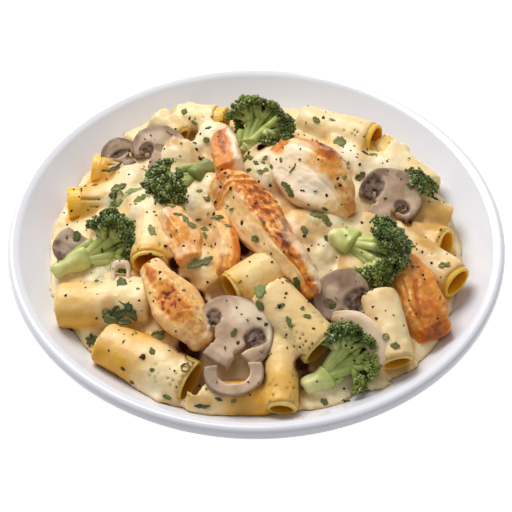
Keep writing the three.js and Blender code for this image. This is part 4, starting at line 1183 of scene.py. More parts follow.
        # keep clear of the bowl
        rr = np.hypot(Pb[:, 0], Pb[:, 1])
        ok = Pb[:, 2] > inside_z(np.minimum(rr, 113)) + 1.2
        Pb, Rb, Tb = Pb[ok], Rb[ok], Tb[ok]
        k = len(Pb)
        V = (Pb[:, None, :] + bv[None] * Rb[:, None, None]).reshape(-1, 3)
        F = (bf[None] + (np.arange(k) * 12)[:, None, None]).reshape(-1, 3)
        painted_bud_highlight = np.repeat(Tb, 12)
        pale = (np.repeat(rng.uniform(0, 1, k), 12) > (0.80 if node == "broccoli_back_left" else 0.93)).astype(float) * 0.8
        # the buds along one edge of some crowns are yellower
        low = {"broccoli_back": 0.65, "broccoli_front_right": 0.95, "broccoli_right": 0.45, "broccoli_back_left": 0.15}.get(node, 0.15)
        hang = ((Pb - C) @ sd) * (1 if sd[2] < 0 else -1) / R + 0.35 * fbm(Pb, 5, 310 + i)
        if node == "broccoli_back":
            hang = -((Pb - C) @ ACROSS) / R + 0.35 * fbm(Pb, 5, 310 + i)
        fresh = np.repeat(np.clip(low * sstep(-0.45, 0.4, hang), 0, 1), 12)
        buds.add(V, F, None, tip=painted_bud_highlight, pale=pale, fresh=fresh)
        # small shifts of the shape inside its place
        if node == "broccoli_back":
            for m2 in (stems, buds):
                m2.v = [v + np.array([1.3, 0, 0]) for v in m2.v]
        if node == "broccoli_left":
            for m2 in (stems, buds):
                w = [np.clip(((v - S) @ ax) / ls, 0, 1.2)[:, None] for v in m2.v]
                m2.v = [v + (0.20 * ((v - C) @ UPHILL)[:, None] - 1.3) * UPHILL * q for v, q in zip(m2.v, w)]
        if node == "broccoli_back_right":
            long, wide = unit(0.42 * ACROSS - 0.9 * UPHILL), unit(0.9 * ACROSS + 0.42 * UPHILL)
            for m2 in (stems, buds):
                m2.v = [v + 0.35 * ((v - C) @ long)[:, None] * long - 0.12 * ((v - C) @ wide)[:, None] * wide + 2.0 * long - 1.6 * ACROSS for v in m2.v]
        stems.build(node.replace("broccoli", "broccoli_stems"), stem_m, [node], "broccoli")
        buds.build(node.replace("broccoli", "broccoli_buds"), bud_m, [node], "broccoli")


# ------------------------------------------------------------------ sauce
DOLLOPS = [
    ((-48, 8, 49), 11), ((-38, 0, 48), 10), ((-55, 12, 45), 9), ((-28, 8, 50), 10), ((-22, 20, 50), 9),
    ((-34, -18, 49), 9), ((-24, -30, 50), 8), ((-60, 30, 43), 9), ((-38, 48, 45), 9), ((-20, 58, 47), 9),
    ((5, 40, 50), 10), ((20, -8, 50), 11), ((34, -6, 50), 10), ((2, -36, 51), 8), ((46, 42, 44), 10),
    ((62, 40, 41), 9), ((-62, -48, 40), 8), ((-54, -76, 36), 7), ((-40, -96, 33), 7), ((-22, -98, 34), 7),
    ((2.9, 31, 54), 6), ((7.7, 31.5, 56), 6), ((5.7, 22.0, 54), 6), ((0, 26.5, 53), 6), ((-16.9, 4, 51), 7), ((22, -13, 51), 7), ((27, -22, 49), 7),
    ((-10, 4, 50), 9), ((60, -10, 44), 9), ((-74, -50, 34), 7),
    ((-46.7, -86, 31), 8), ((-39.9, -90, 31), 7), ((-31, -92.5, 31), 8), ((-21.4, -94, 31), 8), ((-9.2, -95, 31), 8),
    ((23.5, -96, 31), 7), ((34.5, -94, 31), 7), ((54.5, -85, 32), 8), ((63.7, -78, 33), 8), ((70.0, -66, 33), 8), ((75.5, -59, 33), 7),
]


# dark, deep gaps between the pieces, carved into the sauce and painted dark brown as shade: place, half width across
# the view (mm)
GAPS = [
    ((-37.1, -29.5, 50), 2.4), ((-37.6, -33.6, 49), 2.3), ((-32.7, -40.3, 49), 2.5), ((-26.1, -48.7, 49), 3.0), ((-23.8, -52.8, 49), 2.4),
    ((-31.3, -73.2, 45), 3.4), ((-27.3, -77.5, 44), 3.2), ((-7.5, -9.6, 53), 2.6), ((-9.3, -17.3, 53), 2.6), ((-6.0, -22.7, 52), 2.8),
    ((20.5, -84.7, 46), 3.6), ((21.7, -88.6, 44), 3.2), ((58.9, -33.1, 43), 3.0), ((61.9, -36.8, 43), 3.0), ((41.9, -63.8, 44), 3.0),
    ((71.0, 2.0, 43), 2.4),
    ((2.6, -77.2, 45), 3.0), ((-66.1, -51.6, 42), 2.0), ((2.9, 43.5, 52.0), 2.6),
]


# places where brown shade is painted on the sauce, between and under the pieces: place, radius (mm)
PAINTED_SHADE_SPOTS = [
    ((76, 13, 43), 9), ((80, 5, 42), 8), ((84, 14, 43), 8), ((88, 8, 42), 7), ((70, 8, 45), 6), ((28, -8, 52), 7), ((24, -17, 52), 6), ((-12.3, -83.7, 42), 6), ((-20, -44, 48), 7), ((-28, -36, 49), 6),
    ((47, -66, 44), 6), ((60, -34, 43), 7), ((-33, -74, 44), 6), ((22, -86, 40), 8), ((-38, -97, 34), 6), ((-6, -99, 34), 7), ((-66, -47, 42), 5),
    ((41, -30, 48), 5), ((17, -20, 52), 6), ((22, -4, 53), 6), ((-56, -20, 44), 5), ((44, 30, 50), 5), ((-28, 40, 50), 5), ((2, 46, 50), 5), ((60, -8, 45), 6), ((84, -42, 38), 6),
    ((-19.4, -41.9, 49.0), 6), ((-15.2, -45.5, 49.0), 5), ((79.4, -14.3, 45.0), 7), ((11.6, -9.5, 52.0), 6), ((18.9, -16.1, 51.0), 6), ((25.0, -11.1, 51.0), 5), ((43.8, -49.4, 48.0), 5), ((39.2, -28.3, 50.0), 5), ((-40.4, 53.4, 48.0), 5),
    ((16.8, 54.8, 50.0), 5.5), ((11.7, 0.2, 54.0), 5), ((74.2, -1.9, 46.0), 6), ((76.9, -4.8, 45.0), 5), ((-25.8, -95.9, 40.0), 6), ((-21.5, -97.0, 38.0), 5), ((21.4, 44.9, 52.0), 4), ((-9.8, -51.1, 50.0), 4),
    ((43.9, -51.5, 45.0), 4), ((63.8, -81.7, 40.0), 5),
]


# places where the sauce is thin and golden: place, radius (mm), strength
GOLDEN = [
    ((-74.4, 15.3, 46.0), 7, 0.6), ((-63.6, 10.9, 47.0), 7, 0.55), ((79.3, -9.9, 45.0), 8, 0.6), ((54.8, 6.7, 48.0), 5, 0.4), ((-48.4, -27.4, 49.0), 6, 0.7), ((-77.8, -44.2, 42.0), 8, 0.5), ((20.5, -5.0, 52.0), 6, 0.4),
    ((18.6, 51.3, 52.0), 5, 0.7), ((18.8, 59.2, 52.0), 5, 0.6), ((12.1, 0.8, 54.0), 5, 0.5), ((36.4, 52.7, 50.0), 6, 0.5), ((53.9, 46.3, 48.0), 6, 0.5),
]


# places where chopped herbs tint the sauce: place, radius (mm), strength
HERBY = [
    ((-68.6, 13.3, 46.0), 6.5, 0.95), ((-64.0, 17.0, 47.0), 5, 0.8), ((-30.2, 8.0, 50.0), 6.5, 0.6), ((-24.3, 16.7, 50.0), 5, 0.55), ((-1.9, 31.6, 54.0), 7.5, 0.6), ((5.8, 28.9, 54.0), 7, 0.6), ((-7.6, 22.1, 54.0), 5, 0.5), ((28.9, -1.1, 52.0), 6.5, 0.6), ((-69.8, -29.7, 42.0), 4.5, 1.0), ((-75.0, -28.8, 41.0), 4, 0.8), ((38.3, -3.1, 50.0), 4, 0.6), ((-38.1, 18.0, 50.0), 5, 0.4),
    ((-70.6, -29.0, 44.0), 5, 0.95), ((-76.2, -28.1, 43.0), 5, 0.7), ((-70.9, -23.1, 45.0), 4, 0.7), ((-27.8, 26.5, 51.0), 5, 0.85),
]


def gap_dist(P, q, r):
    """Distance outside a long ellipsoid that runs along the line of sight."""
    d = P - np.array(q, float)
    f = d @ FACE
    side = d - f[:, None] * FACE
    return np.sqrt((side**2).sum(1) + (f * 0.35) ** 2) - r


def vertex_normals(V, Q):
    n = np.cross(V[Q[:, 2]] - V[Q[:, 0]], V[Q[:, 3]] - V[Q[:, 1]])
    out = np.zeros_like(V)
    for k in range(4):
        np.add.at(out, Q[:, k], n)
    return out / np.maximum(np.linalg.norm(out, axis=1, keepdims=True), 1e-9)


def box_blur(H, r, times=3):
    for _ in range(times):
        for ax in (0, 1):
            G = np.swapaxes(H, 0, ax)
            pad = np.concatenate([np.repeat(G[:1], r + 1, 0), G, np.repeat(G[-1:], r, 0)])
            c = np.cumsum(pad, 0)
            G = (c[2 * r + 1:] - c[:-2 * r - 1]) / (2 * r + 1)
            H = np.swapaxes(G, 0, ax)
    return H


def sauce(h=1.3):
    x0, x1, y0, y1, z0, z1 = -106, 106, -112, 106, 7.5, 68
    xs, ys, zs = np.arange(x0, x1, h), np.arange(y0, y1, h), np.arange(z0, z1, h)
    X, Y = np.meshgrid(xs, ys, indexing="ij")
    rad = np.hypot(X, Y + 3)
    flat = np.stack([X.ravel(), Y.ravel(), 0 * X.ravel()], -1)
    n1 = fbm(flat, 16, 101, 3).reshape(X.shape)
    n2 = fbm(flat, 7, 105, 2).reshape(X.shape)
    R = 100.5 + 1.5 * n1
    top = 29.0 + 22.0 * np.clip(1 - (rad / R) ** 2, 0, 1) ** 0.70 + 1.6 * n1 + 0.8 * n2
    top = np.where(rad > R, 29.0 - (rad - R), top)
    wall = inside_z(np.minimum(np.hypot(X, Y), 114))
    top = np.where(top > wall, top - 0.6 * (1 - np.exp(-(top - wall) / 0.6)), top)
    F = ((zs[None, None, :] - top[:, :, None]) * 0.8).astype(np.float32)

    def block(lo, hi):
        i0, i1 = max(0, int((lo[0] - x0) / h) - 1), min(len(xs), int((hi[0] - x0) / h) + 2)
        j0, j1 = max(0, int((lo[1] - y0) / h) - 1), min(len(ys), int((hi[1] - y0) / h) + 2)
        k0, k1 = max(0, int((lo[2] - z0) / h) - 1), min(len(zs), int((hi[2] - z0) / h) + 2)
        sl = (slice(i0, i1), slice(j0, j1), slice(k0, k1))
        G = np.stack(np.meshgrid(xs[sl[0]], ys[sl[1]], zs[sl[2]], indexing="ij"), -1)
        return sl, G.reshape(-1, 3), G.shape[:3]

    cuts = []
    for name, A, B, od, fl, oa, ob in RIG:
        A, B, a, hh, v, L = tube_frame(A, B)
        R0 = od / 2
        lo, hi = np.minimum(A, B) - R0 - 7, np.maximum(A, B) + R0 + 7
        sl, P, shp = block(lo, hi)
        s = (P - B) @ a
        px, py = (P - B) @ hh, (P - B) @ v
        rr = np.hypot(px, py / fl)
        th = np.arctan2(py / fl, px)
        c = coat(name, s, L, th, P)
        d = (rr - R0 - c) * 0.93
        e = np.maximum(-s + (0.9 if ob else -1.1), s - L + (0.9 if oa else -1.1))
        if oa and ob:
            d = np.maximum(d, e)
        else:
            # closed ends are rounded over
            k = np.where(s > L / 2, 0.01 if oa else 2.6, 0.01 if ob else 2.6)
            q = np.clip(0.5 + 0.5 * (e - d) / k, 0, 1)
            d = d + (e - d) * q + k * q * (1 - q)
        d = d.reshape(shp)
        F[sl] = smin(F[sl], d, 0.6 if name in "fg" else 1.1 if name in "cdehmr" else 2.2)
        for is_open, at_end in ((oa, True), (ob, False)):
            if not is_open:
                continue
            ri = R0 - WALL + 0.7
            if at_end:
                dh = np.maximum(rr - ri, np.maximum(L - 16 - s, s - L - 7))
            else:
                dh = np.maximum(rr - ri, np.maximum(s - 16, -s - 7))
            cuts.append((sl, dh.reshape(shp)))
    # dollops of sauce that fill hollows between the tubes
    for q, rad0 in DOLLOPS:
        q = np.array(q, float)
        sl, P, shp = block(q - rad0 - 7, q + rad0 + 7)
        dist = np.linalg.norm((P - q) * np.array([1, 1, 1.5]), axis=1) - rad0
        F[sl] = smin(F[sl], (dist * 0.8 + 0.8 * fbm(P, 6, 41, 2)).reshape(shp), 5.0)
    # the toppings are bedded in: sauce climbs a little up their sides
    for node, st in CHICKEN.items():
        C, HW, HD, T = spline(st, np.linspace(0, 1, 9))
        for c, w, dd in zip(C, HW, HD):
            for off in (-0.5, 0, 0.5):
                side = unit(np.cross(T[0], FACE))
                q = c + side * off * w - FACE * 1.5
                rad0 = min(w * 0.5, dd) - 2.0
                sl, P, shp = block(q - rad0 - 5, q + rad0 + 5)
                dist = (np.linalg.norm(P - q, axis=1) - rad0).reshape(shp)
                F[sl] = smin(F[sl], dist, 3.0)
    for node, (cut, crown, R1) in BROCCOLI.items():
        S, C = np.array(cut, float), np.array(crown, float)
        q = S * 0.75 + C * 0.25 - Z * 1.5
        rad0 = R1 * 0.2
        sl, P, shp = block(q - rad0 - 4, q + rad0 + 4)
        F[sl] = smin(F[sl], (np.linalg.norm(P - q, axis=1) - rad0).reshape(shp), 3.0)
    for sl, dh in cuts:
        F[sl] = np.maximum(F[sl], -dh)
    for q, r in GAPS:
        sl, P, shp = block(np.array(q) - 14, np.array(q) + 14)
        F[sl] = np.maximum(F[sl], -gap_dist(P, q, r).reshape(shp))
    zb = inside_z(np.minimum(np.hypot(X, Y), 114)) + 0.2
    neg = F < 0
    top = np.where(neg.any(2), zs[len(zs) - 1 - np.argmax(neg[:, :, ::-1], 2)], zb)
    mean = box_blur(top, 3)
    F = np.maximum(F, (zb[:, :, None] - zs[None, None, :]) * 0.9)
    F[0], F[-1], F[:, 0], F[:, -1], F[:, :, 0], F[:, :, -1] = 5, 5, 5, 5, 5, 5
    V, Q = surface_nets(F, (x0, y0, z0), h)
    # keep only the largest joined body
    if not outward(V, Q[:, :3], Q):
        Q = Q[:, ::-1]
    lab = np.arange(len(V))
    while True:
        m = lab.copy()
        for k in range(4):
            for j in range(4):
                np.minimum.at(m, Q[:, k], lab[Q[:, j]])
        m = m[m]
        if (m == lab).all():
            break
        lab = m
    big = np.bincount(lab).argmax()
    keep = lab == big
    new = np.cumsum(keep) - 1
    Q = new[Q[keep[Q[:, 0]]]]
    V = V[keep]
    # how thin the sauce lies over the nearest tube: 1 bare, 0 where it is 1.7 mm or more
    th = np.zeros(len(V))
    warm = np.zeros(len(V))
    for name, A, B, od, fl, oa, ob in RIG:
        A, B, a, hh, v, L = tube_frame(A, B)
        s = (V - B) @ a
        rr = np.hypot((V - B) @ hh, ((V - B) @ v) / fl)
        near = (s > -0.5) & (s < L + 1.5) & (rr < od / 2 + 3) & (rr > od / 2 - 1.2)
        th[near] = np.maximum(th[near], 1 - np.clip((rr[near] - od / 2) / 1.7, 0, 1))
        ang = np.arctan2(((V - B) @ v) / fl, (V - B) @ hh)
        w = warmth(name, s[near], L, ang[near], V[near]) * sstep(3.0, 1.2, rr[near] - od / 2)
        warm[near] = np.maximum(warm[near], w)
    # how far each point lies below or above the surface round it
    ix = np.clip(((V[:, 0] - x0) / h).astype(int), 0, len(xs) - 1)
    iy = np.clip(((V[:, 1] - y0) / h).astype(int), 0, len(ys) - 1)
    lift = V[:, 2] - mean[ix, iy]
    depth = V[:, 2] - inside_z(np.minimum(np.hypot(V[:, 0], V[:, 1]), 113))
    # painted shade: sauce lying below the surface round it is darkened toward brown
    hollow = sstep(-0.4, -4.2, lift + 0.8 * fbm(V, 7, 64, 2)) * sstep(22, 30, V[:, 2]) * sstep(1.0, 5.0, depth)
    warm = np.maximum(warm, 0.40 * sstep(3.0, 0.6, depth) * sstep(20, 28, V[:, 2]))
    # painted highlight: sauce that rises above the surface round it is mixed toward a paler cream
    crest = sstep(0.3, 3.0, lift + 1.2 * fbm(V, 9, 61, 2)) * (1 - th)
    # painted shade: these spots add to the hollow darkening
    for q, r in PAINTED_SHADE_SPOTS:
        d = V - np.array(q, float)
        f = d @ FACE
        d = np.linalg.norm(d - f[:, None] * FACE, axis=1) + 2.5 * fbm(V, 5, 66, 2)
        hollow = np.maximum(hollow, 0.85 * sstep(r * 1.1, r * 0.3, d) * (np.abs(f) < 18))
    for q, r, k in GOLDEN:
        d = V - np.array(q, float)
        f = d @ FACE
        d = np.linalg.norm(d - f[:, None] * FACE, axis=1) + 2.0 * fbm(V, 5, 68, 2)
        warm = np.maximum(warm, k * sstep(r * 1.2, r * 0.3, d) * (np.abs(f) < 14))
    herby = np.zeros(len(V))
    for q, r, k in HERBY:
        d = V - np.array(q, float)
        f = d @ FACE
        d = np.linalg.norm(d - f[:, None] * FACE, axis=1) + 2.0 * fbm(V, 4, 67, 2)
        herby = np.maximum(herby, k * sstep(r * 1.1, r * 0.4, d) * (np.abs(f) < 16))
    # painted shade: the carved gaps are coloured dark brown
    gap = np.zeros(len(V))
    for q, r in GAPS:
        gap = np.maximum(gap, sstep(r * 0.25 + 0.7, -0.1, gap_dist(V, q, r)))
    N = vertex_normals(V, Q)
    lumps = 0.75 * fbm(V, 6.5, 62, 2) + 0.42 * fbm(V, 3.0, 63, 2)
    V = V + N * (lumps * (1 - 0.75 * th) * sstep(24, 32, V[:, 2]))[:, None]
    # the coat on the centre tube stays above its wall
    for name, A, B, od, fl, oa, ob in RIG:
        if name == "m":
            A, B, a, hh, v, L = tube_frame(A, B)
            along, p1, p2 = (V - B) @ a, (V - B) @ hh, ((V - B) @ v) / fl
            rr = np.hypot(p1, p2)
            graze = (along > 3) & (along < L - 3) & (rr > od / 2 - 0.9) & (rr < od / 2 + 0.35) & (p2 > -2)
            f = np.where(graze, (od / 2 + 0.35) / np.maximum(rr, 1) - 1, 0)
            V = V + f[:, None] * (p1[:, None] * hh + (p2 * fl)[:, None] * v)
    b = Mesh()
    b.add(V, None, Q, thin=th, hollow=hollow, crest=crest, gap=gap, herby=herby, amber=np.clip(warm, 0, 1))
    ob = b.build("cream_sauce_and_core", sauce_mat(), ["pasta_heap"], "sauce")
    return ob


def rigatoni():
    M = Mesh()
    for i, (name, A, B, od, fl, oa, ob) in enumerate(RIG):
        a = unit(np.array(A, float) - np.array(B, float))
        # a closed end stays well under the sauce
        rigatoni_mesh(M, A if oa else np.array(A) - a * 1.6, B if ob else np.array(B) + a * (8 if name == "p" else 1.6), od, fl, 500 + i, name)
    return M.build("rigatoni_tubes", pasta_mat(), ["pasta_heap"], "pasta")


# ------------------------------------------------------------------ parsley and pepper
# where each flake lies (mm), its length and width (mm), the way it points in the picture plane (degrees), kind, darkness
LEAVES = [
    (-65.7, 22.1, 47.6, 8.0, 3.6, -15, "leaf", 0.45), (-68.0, 18.1, 46.1, 5.0, 3.2, 0, "leaf", 0.8), (-67.8, 13.1, 43.7, 5.4, 3.4, 75, "leaf", 0.5),
    (-64.2, 12.2, 46.6, 5.2, 3.0, 80, "leaf", 0.3), (-58.5, 19.5, 47.6, 8.5, 4.2, 12, "leaf", 0.0), (-55.0, 14.0, 48.0, 7.0, 3.6, -25, "leaf", 0.1), (-77.7, 25.6, 45.5, 2.9, 1.2, 0, "leaf", 0.8), (-83.6, -9.0, 46.1, 5.8, 3.9, 100, "leaf", 0.6),
    (-52.8, 20.3, 60.8, 3.9, 1.4, 0, "leaf", 0.2), (-52.7, 15.2, 57.2, 3.9, 1.9, -30, "leaf", 0.6), (-23.1, 6.5, 55.9, 3.9, 1.4, 20, "leaf", 0.4),
    (-35.8, -6.8, 58.8, 4.8, 1.7, 0, "leaf", 0.55), (-33.4, 0.4, 54.7, 2.9, 1.0, 90, "leaf", 0.4), (-31.9, -11.2, 59.4, 6.3, 2.7, 65, "leaf", 0.35),
    (-29.5, -14.8, 59.8, 4.3, 2.9, 40, "leaf", 0.4), (-26.8, -3.5, 52.0, 2.9, 1.2, 0, "leaf", 0.7), (-18.0, -11.7, 61.2, 5.8, 1.7, 5, "leaf", 0.5),
    (-47.6, -15.3, 56.3, 6.8, 3.4, 78, "leaf", 0.25), (-24.4, -7.8, 50.3, 2.9, 1.9, 0, "leaf", 0.5), (-23.5, -18.7, 57.2, 3.9, 2.4, 60, "leaf", 0.3),
    (-24.9, -35.0, 56.7, 13.0, 4.3, -18, "leaf", 0.45), (-60.2, -42.5, 50.9, 7.4, 4.4, 80, "disk", 0.7), (-72.0, -38.1, 48.0, 2.4, 1.0, 10, "leaf", 0.6),
    (-23.4, 58.3, 52.8, 3.4, 1.4, -20, "leaf", 0.8), (-24.3, 52.1, 50.5, 3.4, 2.9, 30, "leaf", 0.45), (-2.4, 36.5, 53.2, 4.3, 1.9, 10, "leaf", 0.6),
    (-2.9, 31.6, 50.4, 2.4, 1.0, 10, "leaf", 0.6), (4.8, 28.9, 52.4, 2.9, 2.4, 20, "leaf", 0.3), (30.3, 70.9, 46.6, 4.3, 2.7, 20, "leaf", 0.35),
    (38.3, 69.2, 48.2, 3.4, 1.0, 20, "leaf", 0.2), (41.5, 56.3, 45.2, 6.3, 5.8, 0, "disk", 0.5), (53.2, 44.6, 48.8, 3.9, 1.4, 25, "leaf", 0.8),
    (56.9, 46.4, 45.6, 5.8, 2.4, 5, "leaf", 0.35), (14.1, 10.2, 60.9, 5.3, 2.9, 30, "leaf", 0.5), (16.0, 6.5, 59.9, 5.8, 3.4, 60, "leaf", 0.6),
    (17.4, 15.6, 66.8, 5.8, 1.0, -50, "leaf", 0.3), (50.2, 30.2, 47.0, 6.8, 3.4, -30, "leaf", 0.5), (28.4, -5.3, 56.5, 6.3, 3.1, 15, "leaf", 0.5),
    (32.6, -8.4, 56.4, 7.2, 3.4, 60, "leaf", 0.45), (-16.6, -9.7, 60.5, 3.9, 1.4, 15, "leaf", 0.5), (-22.2, 6.1, 56.3, 4.3, 1.9, -20, "leaf", 0.6),
    (0.0, -26.0, 63.0, 4.3, 3.4, 40, "leaf", 0.5), (22.2, -13.9, 56.2, 4.3, 2.9, 60, "leaf", 0.35), (32.4, -16.2, 52.5, 3.4, 3.4, 30, "leaf", 0.6),
    (-23.4, -8.6, 50.5, 3.4, 1.9, 10, "leaf", 0.4), (-73.6, -61.8, 35.2, 5.8, 4.3, 20, "sprig", 0.6), (-43.3, -64.3, 42.5, 6.3, 2.9, -5, "leaf", 0.6),
    (-43.2, -66.4, 42.3, 5.3, 2.9, -12, "leaf", 0.2), (-45.1, -78.4, 47.2, 4.3, 2.4, 75, "leaf", 0.65), (-44.8, -86.9, 45.4, 2.4, 1.9, 0, "leaf", 0.4),
    (-38.2, -96.7, 38.9, 4.3, 1.9, 20, "leaf", 0.6), (-22.8, -103.7, 41.8, 7.2, 1.9, 5, "leaf", 0.9), (-30.4, -87.2, 47.1, 4.6, 4.3, 0, "ring", 0.4),
    (-9.6, -72.5, 53.2, 4.3, 2.2, -55, "leaf", 0.6), (1.8, -47.7, 52.0, 7.0, 5.0, 85, "disk", 0.3), (1.8, -60.9, 57.8, 4.8, 3.4, 30, "leaf", 0.6),
    (11.0, -62.8, 59.9, 3.4, 1.9, -40, "leaf", 0.55), (20.2, -63.2, 58.5, 1.9, 1.9, 0, "leaf", 0.5), (22.3, -67.1, 57.6, 3.4, 2.2, 20, "leaf", 0.3),
    (14.4, -70.4, 57.5, 5.8, 2.4, 70, "leaf", 0.45), (17.9, -48.3, 56.7, 9.2, 4.8, -65, "leaf", 0.6), (34.8, -50.7, 45.1, 4.3, 3.4, 20, "leaf", 0.8),
    (56.5, -73.6, 51.7, 3.4, 2.9, 0, "ring", 0.5), (60.2, -78.1, 51.0, 4.3, 2.9, 10, "leaf", 0.5), (85.9, -29.3, 49.1, 5.8, 2.9, 0, "leaf", 0.3),
    (29.7, -95.7, 34.0, 3.9, 2.9, 20, "leaf", 0.65), (-35.9, 73.6, 49.7, 3.4, 3.1, 30, "leaf", 0.6), (-30.7, 67.4, 47.8, 3.9, 1.9, 45, "leaf", 0.4),
    (-15.9, -101.6, 43.9, 3.4, 1.4, 25, "leaf", 0.8), (-9.5, -101.5, 42.5, 2.4, 1.9, 0, "leaf", 0.4), (-58.0, -82.5, 40.5, 2.4, 1.4, 30, "leaf", 0.8),
    (-54.4, -84.5, 33.7, 2.4, 1.4, 10, "leaf", 0.6), (-12.9, -14.6, 59.6, 3.9, 1.4, 0, "leaf", 0.4), (-38.6, -18.6, 57.1, 2.4, 1.2, 40, "leaf", 0.5),
    (3.5, -88.6, 44.0, 2.4, 1.9, 90, "leaf", 0.5), (20.3, -95.2, 43.3, 2.4, 1.4, -30, "leaf", 0.6), (-39.5, 2.5, 55.2, 3.9, 1.9, 10, "leaf", 0.3),
    (-11.1, -7.6, 63.0, 2.9, 1.4, -20, "leaf", 0.5), (40.8, 5.5, 70.8, 2.4, 1.9, 0, "leaf", 0.3),
    (-68.6, 37.1, 46.0, 8.6, 2.0, -33, "leaf", 0.85), (-65.3, 15.6, 47.0, 9.5, 6.0, 80, "ring", 0.35), (-4.3, 35.8, 54.0, 4.4, 2.2, -20, "leaf", 0.5), (0.0, 32.3, 54.0, 3.6, 1.8, 30, "leaf", 0.6), (4.3, 34.7, 55.0, 3.2, 1.6, -40, "leaf", 0.45), (7.7, 28.5, 55.0, 3.4, 1.6, 60, "leaf", 0.6), (2.4, 25.1, 55.0, 4.2, 2.0, 10, "leaf", 0.4), (12.0, 32.3, 56.0, 2.8, 1.3, 70, "leaf", 0.5), (-3.3, 26.5, 55.0, 2.6, 1.5, 0, "leaf", 0.7), (-27.1, 15.7, 51.0, 4.0, 1.8, -30, "leaf", 0.5), (-23.1, 10.3, 51.0, 3.6, 1.6, 40, "leaf", 0.6), (38.4, -97.1, 36.0, 5.6, 3.2, 10, "leaf", 0.7), (26.6, -0.8, 53.0, 3.6, 1.8, -30, "leaf", 0.6), (32.3, 2.5, 53.0, 3.0, 1.6, 20, "leaf", 0.7),
]
